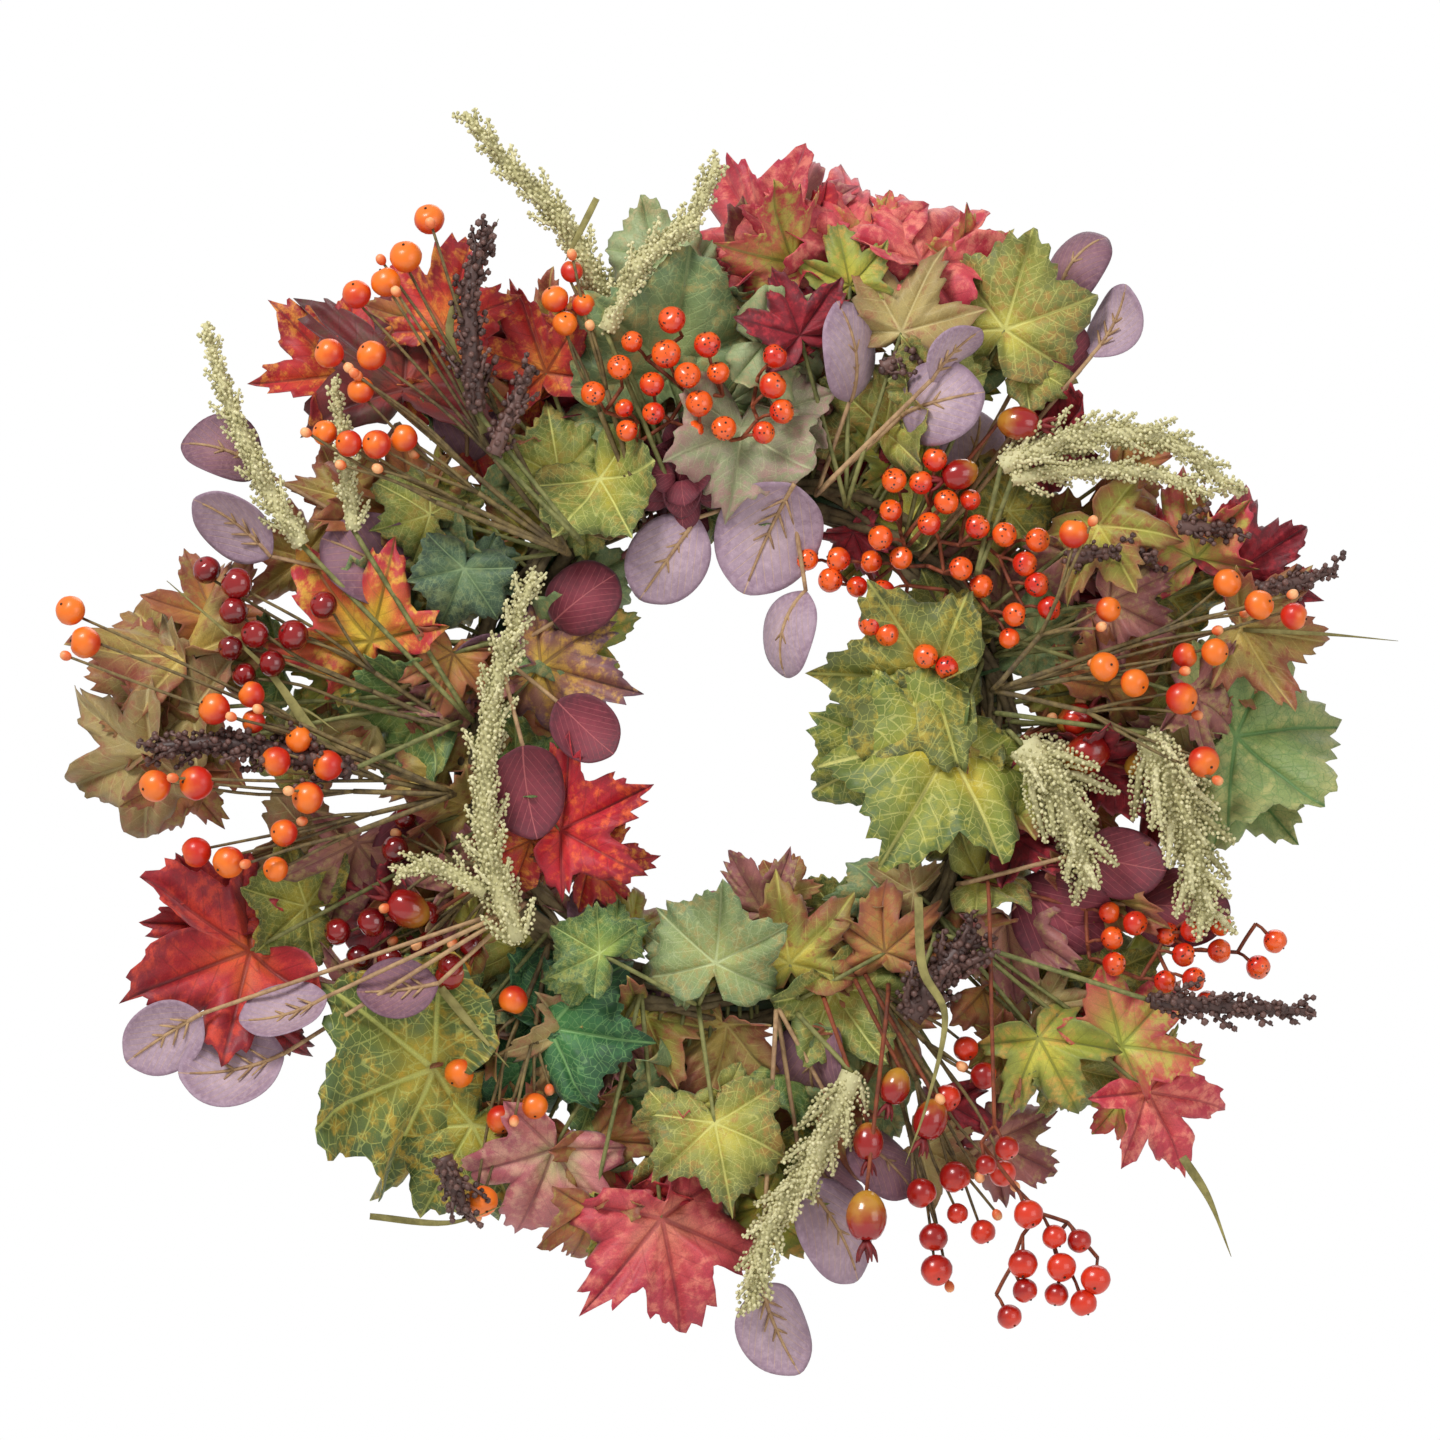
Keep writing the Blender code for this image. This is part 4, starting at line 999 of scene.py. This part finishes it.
def spikelet(points, radius, bead, centres, sizes):
    """Beads packed over a tapering spike along a short curve."""
    rows = frames_along(points)
    lengths = [(after - before).length for before, after in zip(points, points[1:])]
    total = sum(lengths)
    place, twist = 0.0, chance.uniform(0, 6.28)
    while place < total:
        index, before = 0, place
        while index < len(lengths) - 1 and before > lengths[index]:
            before -= lengths[index]
            index += 1
        where = points[index].lerp(points[index + 1], before / lengths[index])
        along, side, up = rows[index]
        t = place / total
        thick = radius * (0.75 + 0.25 * math.sin(math.pi * t)) * (1 - 0.7 * t ** 3)
        out = side * math.cos(twist) + up * math.sin(twist)
        jitter = chance.uniform(0.85, 1.12)
        centres.append(where + out * thick * jitter)
        sizes.append(bead * chance.uniform(0.75, 1.15))
        twist += GOLDEN_ANGLE
        place += bead * bead * 1.45 / max(thick, bead)


def add_plume(batch, route, width, kind, foot=None):
    """A seed head: a beaded spike with shorter beaded spikes standing out all round it."""
    beads, stem, bead = PLUME_BEADS[kind]
    points = curve_through(route, 8)
    count = len(points)
    if foot is not None:
        lead = stalk_route(foot, points[0])
        add_tube(batch, lead, [1.2 * MM] * len(lead), stem)
    core = width * 0.19 * MM
    add_tube(batch, points, [core * (1 - 0.75 * (k / count) ** 2) for k in range(count)], beads)
    centres, sizes = [], []
    spikelet(points, core * 1.15, bead * MM, centres, sizes)
    rows = frames_along(points)
    length = sum((after - before).length for before, after in zip(points, points[1:]))
    spikes = int(length / (3.4 * MM if kind == "heather" else 4.2 * MM))
    twist = chance.uniform(0, 6.28)
    for number in range(spikes):
        t = (number + 0.5) / spikes
        index = min(int(t * (count - 1)), count - 2)
        along, side, up = rows[index]
        twist += GOLDEN_ANGLE
        out = side * math.cos(twist) + up * math.sin(twist)
        reach = width * MM * chance.uniform(0.36, 0.66) * (1.05 - 0.50 * t)
        start = points[index]
        bend = start + (out * 0.75 + along * 0.55) * reach * 0.6
        tip = start + (out * 0.95 + along * 1.15) * reach
        spikelet([start, bend, tip], width * 0.115 * MM, bead * MM, centres, sizes)
        add_tube(batch, [start, bend, tip], [width * factor * MM for factor in (0.06, 0.05, 0.02)],
                 beads, 5)
    add_beads(batch, centres, sizes, beads)


def plumes():
    made = {}
    for node, route, width, kind in PLUMES:
        batch = made.setdefault(node, Batch())
        right, up = route[len(route) // 2]
        if batch.count == 0:
            batch.depth = depth_at(node, right, up) + width * (0.22 if kind == "heather" else 0.05) * MM
        points = [spot(right, up, batch.depth) for right, up in route]
        add_plume(batch, points, width, kind, foot_of(node))
    for node, batch in made.items():
        seat(batch.build(f"{node}_beads"), node)


def loose_plumes():
    """Short sorghum heads among the leaves on the fixed part of the wreath."""
    batch = Batch()
    for route, width in LOOSE_PLUMES:
        points = [spot(right, up, -30 * MM) for right, up in route]
        add_plume(batch, points, width, "sorghum")
    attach(batch.build("loose_sorghum_heads"), "root")


def blossom():
    """A ruffled burgundy blossom, low among the leaves at the inner top."""
    batch = Batch()
    right, up, radius = BLOSSOM
    centre = spot(right, up, -30 * MM)
    finish = leaf_finish("round", "burgundy")
    for ring, (count, reach, tilt) in enumerate(((6, 0.62, 12), (5, 0.42, 34), (4, 0.20, 58))):
        for petal in range(count):
            heading = 360 * (petal + 0.5 * ring) / count
            turn = math.radians(heading)
            out = Vector((math.sin(turn), 0, math.cos(turn))) * radius * reach * MM
            place = centre + out - Vector((0, ring * 3.0 * MM, 0))
            add_leaf(batch, "round", place, radius * 0.52 * MM, heading, tilt, finish, 1.5)
    route = stalk_route(CENTRE + Vector((right * MM, -4 * MM, up * MM * 0.97)), centre)
    add_tube(batch, route, [1.0 * MM] * len(route), GREEN_STEM)
    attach(batch.build("burgundy_blossom", LEAF_THICKNESS), "root")


def parted_wires(batch, foot, ends, stem):
    """Wires that leave the twigs in bunches and part on the way to their berries."""
    ahead = (sum(ends, Vector()) / len(ends) - foot).normalized()
    side = ahead.cross(Vector((0, 1, 0)))
    ends = sorted(ends, key=lambda end: (end - foot).normalized().dot(side))
    for start in range(0, len(ends), 4):
        bunch = ends[start:start + 4]
        middle = sum(bunch, Vector()) / len(bunch)
        fork = foot.lerp(middle, chance.uniform(0.40, 0.60))
        fork.y += (middle.y - foot.y) * 0.2
        route = stalk_route(foot, fork)
        add_tube(batch, route, [1.25 * MM] * len(route), stem)
        for end in bunch:
            bow = (end - fork).length * chance.uniform(-0.06, 0.06)
            half = fork.lerp(end, 0.5) + side * bow - Vector((0, 1.5 * MM, 0))
            route = curve_through([fork, half, end], 4)
            add_tube(batch, route, np.linspace(0.95, 0.65, len(route)) * MM, stem)


def wire_tree(batch, foot, ends, stem, radius):
    """Stems that branch from the foot to each end, joining the nearest stem on the way."""
    joints = [foot]
    waiting = sorted(ends, key=lambda end: (end - foot).length)
    for end in waiting:
        nearest = min(joints, key=lambda joint: (joint - end).length + 0.25 * (joint - foot).length)
        if nearest is foot:
            route = stalk_route(foot, end)
        else:
            bow = Vector((0, 2.5 * MM, 0))
            route = curve_through([nearest, nearest.lerp(end, 0.5) + bow, end], 4)
        add_tube(batch, route, [radius] * len(route), stem)
        joints.append(end)


def berry_way(centre, foot):
    """The way a berry's far end points: out from its stem, and mostly to the front."""
    way = centre - foot
    way.y *= 0.4
    stray = Vector([chance.uniform(-0.5, 0.5) for _ in range(3)])
    return (way.normalized() + stray + Vector((0, -0.35, 0))).normalized()


def more_berries(balls, share):
    """The CAD berries, with more of them close beside those."""
    placed = list(balls)
    for centre, radius in balls:
        if chance.random() > share:
            continue
        for attempt in range(12):
            turn = chance.uniform(0, 2 * math.pi)
            size = radius * chance.uniform(0.85, 1.0)
            shift = Vector((math.cos(turn), chance.uniform(-0.1, 0.5), math.sin(turn)))
            beside = centre + shift.normalized() * (radius + size) * chance.uniform(1.1, 1.5)
            if all((beside - other).length > (size + wide) * 1.02 for other, wide in placed):
                placed.append((beside, size))
                break
    return placed


def berry_sprays():
    for node, (skin, stem, share, buds) in BERRY_SKIN.items():
        batch = Batch()
        foot = foot_of(node)
        clustered = stem is RED_STEM
        ends = []
        placed = more_berries([ball for ball in balls_of(node)
                               if (ball[0] - foot).length > 24 * MM], share)
        for centre, radius in placed:
            size = radius * 1.05
            way = berry_way(centre, foot)
            add_berry(batch, centre, size, way, skin, NUB)
            back = centre - way * size * 0.9
            if clustered:
                joint = centre - way * size * 2.1 + Vector((0, 2 * MM, 0))
                middle = joint.lerp(back, 0.5) + Vector((0, 0, 0.6 * MM))
                add_tube(batch, [joint, middle, back], [0.8 * MM, 0.75 * MM, 0.9 * MM], stem)
                ends.append(joint)
            else:
                ends.append(back)
        for number in range(buds):
            centre, radius = placed[number % len(placed)]
            shift = Vector([chance.uniform(-1, 1) for _ in range(3)]).normalized()
            bud = centre + shift * (radius + 4.5 * MM)
            way = (bud - foot).normalized()
            add_berry(batch, bud, 2.3 * MM, way, BUD, BUD, 1.25)
            ends.append(bud - way * 2 * MM)
        if clustered:
            wire_tree(batch, foot, ends, stem, 0.95 * MM)
        elif ends:
            parted_wires(batch, foot, ends, stem)
        for right, up, radius, heading in HIPS.get(node, ()):
            end = add_hip(batch, spot(right, up, depth_at(node, right, up) + 6 * MM), radius, heading)
            route = stalk_route(foot, end)
            add_tube(batch, route, np.linspace(1.2, 0.9, len(route)) * MM, RED_STEM)
        if batch.count:
            seat(batch.build(f"{node}_fruit"), node)


def add_hip(batch, centre, radius, heading):
    """A rose hip with its crown of sepals. Gives back the end that its stem joins."""
    size = radius * MM
    turn = math.radians(heading)
    way = Vector((math.sin(turn), -0.15, math.cos(turn))).normalized()
    add_berry(batch, centre, size * 0.78, way, HIP_SKIN, CALYX, 1.3)
    crown = centre + way * size * 0.95
    side = way.orthogonal().normalized()
    up_way = way.cross(side)
    for sepal in range(5):
        angle = 2 * math.pi * sepal / 5
        out = side * math.cos(angle) + up_way * math.sin(angle)
        bend = crown + way * size * 0.35 + out * size * 0.30
        tip = crown + way * size * 0.75 + out * size * 0.42
        add_tube(batch, curve_through([crown, bend, tip], 3),
                 np.linspace(0.17, 0.03, 7) * size, CALYX, 6)
    return centre - way * size * 0.9


def loose_hips():
    """Hips that lie among the leaves on the fixed part of the wreath."""
    batch = Batch()
    for right, up, radius, heading in LOOSE_HIPS:
        centre = spot(right, up, -34 * MM)
        end = add_hip(batch, centre, radius, heading)
        clock = math.atan2(end.x - CENTRE.x, end.z - CENTRE.z)
        foot = CENTRE + Vector((math.sin(clock), 0, math.cos(clock))) * RING_RADIUS
        route = stalk_route(foot + Vector((0, -8 * MM, 0)), end)
        add_tube(batch, route, np.linspace(1.2, 0.9, len(route)) * MM, RED_STEM)
    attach(batch.build("loose_rose_hips"), "root")


def add_blade(batch, points, width):
    """A grass blade: a ribbon with a folded middle that tapers to its tip."""
    points = curve_through(points, 8)
    count = len(points)
    rows = []
    reach = []
    for index, (point, (along, side, up)) in enumerate(zip(points, frames_along(points))):
        t = index / (count - 1)
        flat = along.cross(Vector((0, -1, 0))).normalized()
        half = width / 2 * MM * (0.5 + 0.5 * math.sin(math.pi * min(1, 0.3 + t))) * (1 - t ** 3 * 0.95)
        keel = Vector((0, half * 0.5, 0))
        rows += [point - flat * half, point + keel, point + flat * half]
        reach += [t] * 3
    faces = []
    for index in range(count - 1):
        base = index * 3
        faces += [(base, base + 1, base + 4, base + 3), (base + 1, base + 2, base + 5, base + 4)]
    batch.add(rows, faces, GRASS_BLADE, None, None, np.array(reach))


def grass():
    made = {}
    for node, route, width in GRASS:
        batch = made.setdefault(BODY_OF[node], Batch())
        depth = depth_at(node, *route[1]) - 8 * MM
        add_blade(batch, [spot(right, up, depth) for right, up in route], width)
    for body, batch in made.items():
        piece = batch.build(f"grass_on_{body}", 0.4 * MM)
        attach(piece, body)


def wound_route(radius, turns, start, wander, stations=160):
    """A closed route wound round the ring, wandering a little in and out."""
    points = []
    for station in range(stations):
        clock = 2 * math.pi * station / stations
        wind = start + turns * clock
        loose = radius * (1 + wander * math.sin(3 * clock + start) * math.cos(5 * clock + 2 * start))
        reach = RING_RADIUS + loose * math.cos(wind)
        depth = loose * math.sin(wind)
        points.append(CENTRE + Vector((reach * math.sin(clock), depth, reach * math.cos(clock))))
    return points


def twig_ring():
    """The bundle of vine twigs, wound round the hoop."""
    layout = ((3, 6.6, 2.9, 3), (6, 10.2, 2.0, 3), (4, 8.6, 1.5, -2))
    number = 0
    for count, distance, radius, turns in layout:
        for index in range(count):
            batch = Batch()
            start = 2 * math.pi * (index + 0.3 * number % 1) / count
            route = wound_route(distance * MM, turns, start, 0.10)
            swell = [radius * MM * (1 + 0.18 * math.sin(k * 0.9 + number) * math.sin(k * 0.23))
                     for k in range(len(route))]
            add_loop(batch, route, swell, BARK, 8)
            number += 1
            piece = batch.build(f"vine_{number}")
            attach(piece, "root")
            if number <= 3:
                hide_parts(f"vine_twig_{number}")


def add_loop(batch, route, radii, material, sides):
    """A twig that closes on itself."""
    count = len(route)
    rows = []
    for index, point in enumerate(route):
        along = (route[(index + 1) % count] - route[index - 1]).normalized()
        outward = (point - CENTRE).normalized()
        side = (outward - along * outward.dot(along)).normalized()
        up = along.cross(side)
        for step in range(sides):
            turn = 2 * math.pi * step / sides
            rows.append(point + (side * math.cos(turn) + up * math.sin(turn)) * radii[index])
    faces = []
    for ring in range(count):
        after = (ring + 1) % count
        for step in range(sides):
            beside = (step + 1) % sides
            faces.append((ring * sides + step, ring * sides + beside,
                          after * sides + beside, after * sides + step))
    batch.add(rows, faces, material)


FILLER_FINISHES = ("moss", "rust", "mottle", "mauve", "khaki", "crimson", "mottle_green", "ivy",
                   "ivy", "ivy", "ivy", "round")
FILLER_IVY = ("ivy_olive", "ivy_green", "ivy_gold", "ivy_olive_dark", "ivy_sage", "ivy_big")
FILLER_ROUND = ("lilac", "burgundy", "mauve")
# How many, how far out from the ring in mm from and to, how deep in mm from and to, and size
FILLERS = (
    (26, -24, -4, -10, 2, 24, 32),
    (46, 0, 34, -14, 4, 30, 42),
    (46, 34, 76, -14, 5, 30, 44),
    (32, 74, 100, -10, 6, 28, 38),
)


def filler_leaves():
    """Leaves close to the ring, which fill the wreath behind the sprays."""
    quarters = [Batch() for _ in range(4)]
    for group, (count, low, high, front, back, small, large) in enumerate(FILLERS):
        for index in range(count):
            clock = 360 * (index + chance.uniform(-0.4, 0.4)) / count
            reach = RING_RADIUS / MM + chance.uniform(low, high)
            turn = math.radians(clock)
            batch = quarters[int(clock % 360 // 90)]
            depth = chance.uniform(front, back) * MM
            place = spot(reach * math.sin(turn), reach * math.cos(turn), depth)
            heading = clock + chance.uniform(-65, 65) + (180 if group == 0 else 0)
            finish = chance.choice(FILLER_FINISHES)
            size = chance.uniform(small, large) * MM
            tilt = chance.uniform(-30, 18)
            if finish == "round":
                add_round(batch, place, size * 0.55, heading, tilt, chance.choice(FILLER_ROUND), 1.2,
                          chance.uniform(-50, 50))
            elif finish == "ivy":
                name = chance.choice(FILLER_IVY)
                add_leaf(batch, "ivy", place, size, heading, tilt, leaf_finish("ivy", name), 1.2)
            else:
                look = leaf_finish("maple", finish)
                add_leaf(batch, "maple", place, size, heading, tilt, look, 1.2)
            foot = CENTRE + Vector((math.sin(turn), 0, math.cos(turn))) * RING_RADIUS
            foot.y = -6 * MM
            middle = foot.lerp(place, 0.5) + Vector((0, 2 * MM, 0))
            route = curve_through([foot, middle, place + Vector((0, 0.8 * MM, 0))], 4)
            add_tube(batch, route, [0.8 * MM] * len(route), GREEN_STEM, 6)
    for number, batch in enumerate(quarters, 1):
        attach(batch.build(f"inner_leaves_{number}", LEAF_THICKNESS), "root")


def carried_over():
    """The hoop and the binding wire keep their CAD shapes."""
    for node in ("core_hoop", "binding_tie_1"):
        shown = frame["nodes"][node]
        for slot in shown.material_slots:
            slot.material = GREEN_WIRE


def floor():
    bpy.ops.mesh.primitive_circle_add(vertices=96, radius=1.4, fill_type="NGON",
                                      location=(0, 0.1, CENTRE.z - 0.62))
    disc = bpy.context.active_object
    disc.name = "floor"
    shader = Shader("pale_floor", 0.7)
    cloud = shader.noise(shader.world_place(), 3.0, 2.0)
    shader.colour(shader.mix(cloud, linear((236, 234, 230)), linear((244, 243, 240))))
    disc.data.materials.append(shader.material)


def area_light(name, place, size, power):
    lamp = bpy.data.lights.new(name, "AREA")
    lamp.size = size
    lamp.energy = power
    light = bpy.data.objects.new(name, lamp)
    light.location = place
    light.rotation_euler = (CENTRE - Vector(place)).to_track_quat("-Z", "Y").to_euler()
    bpy.context.scene.collection.objects.link(light)


def lights():
    world = bpy.data.worlds.new("studio")
    world.use_nodes = True
    nodes = world.node_tree.nodes
    sky = nodes["Background"]
    sky.inputs["Strength"].default_value = 1.0
    path = nodes.new("ShaderNodeLightPath")
    mix = nodes.new("ShaderNodeMix")
    mix.data_type = "RGBA"
    mix.inputs[6].default_value = (0.52, 0.52, 0.52, 1)
    mix.inputs[7].default_value = (1, 1, 1, 1)
    world.node_tree.links.new(path.outputs["Is Camera Ray"], mix.inputs[0])
    world.node_tree.links.new(mix.outputs[2], sky.inputs["Color"])
    bpy.context.scene.world = world
    area_light("key", (-1.0, -1.5, 1.5), 0.8, 44)
    area_light("fill", (1.4, -1.4, 0.0), 1.2, 9)
    area_light("rim", (0.4, 1.2, 1.2), 1.2, 8)
    bpy.context.scene.view_settings.view_transform = "Standard"
    bpy.context.scene.view_settings.look = "None"


CAMERA_DISTANCE = 3.0
FRAME_WIDTH = 648 * MM
FRAME_SHIFT = (-6.75 * MM, 11.25 * MM)


def camera():
    lens = bpy.data.cameras.new("camera")
    lens.sensor_width = 36
    lens.lens = 36 * CAMERA_DISTANCE / FRAME_WIDTH
    view = bpy.data.objects.new("camera", lens)
    front = (cad_box[0].y + cad_box[1].y) / 2 - 10 * MM
    view.location = (CENTRE.x + FRAME_SHIFT[0], front - CAMERA_DISTANCE, CENTRE.z + FRAME_SHIFT[1])
    view.rotation_euler = (math.pi / 2, 0, 0)
    bpy.context.scene.collection.objects.link(view)
    bpy.context.scene.camera = view


camera()
lights()
floor()
carried_over()
twig_ring()
filler_leaves()
leaf_sprays()
plumes()
loose_plumes()
blossom()
berry_sprays()
loose_hips()
grass()
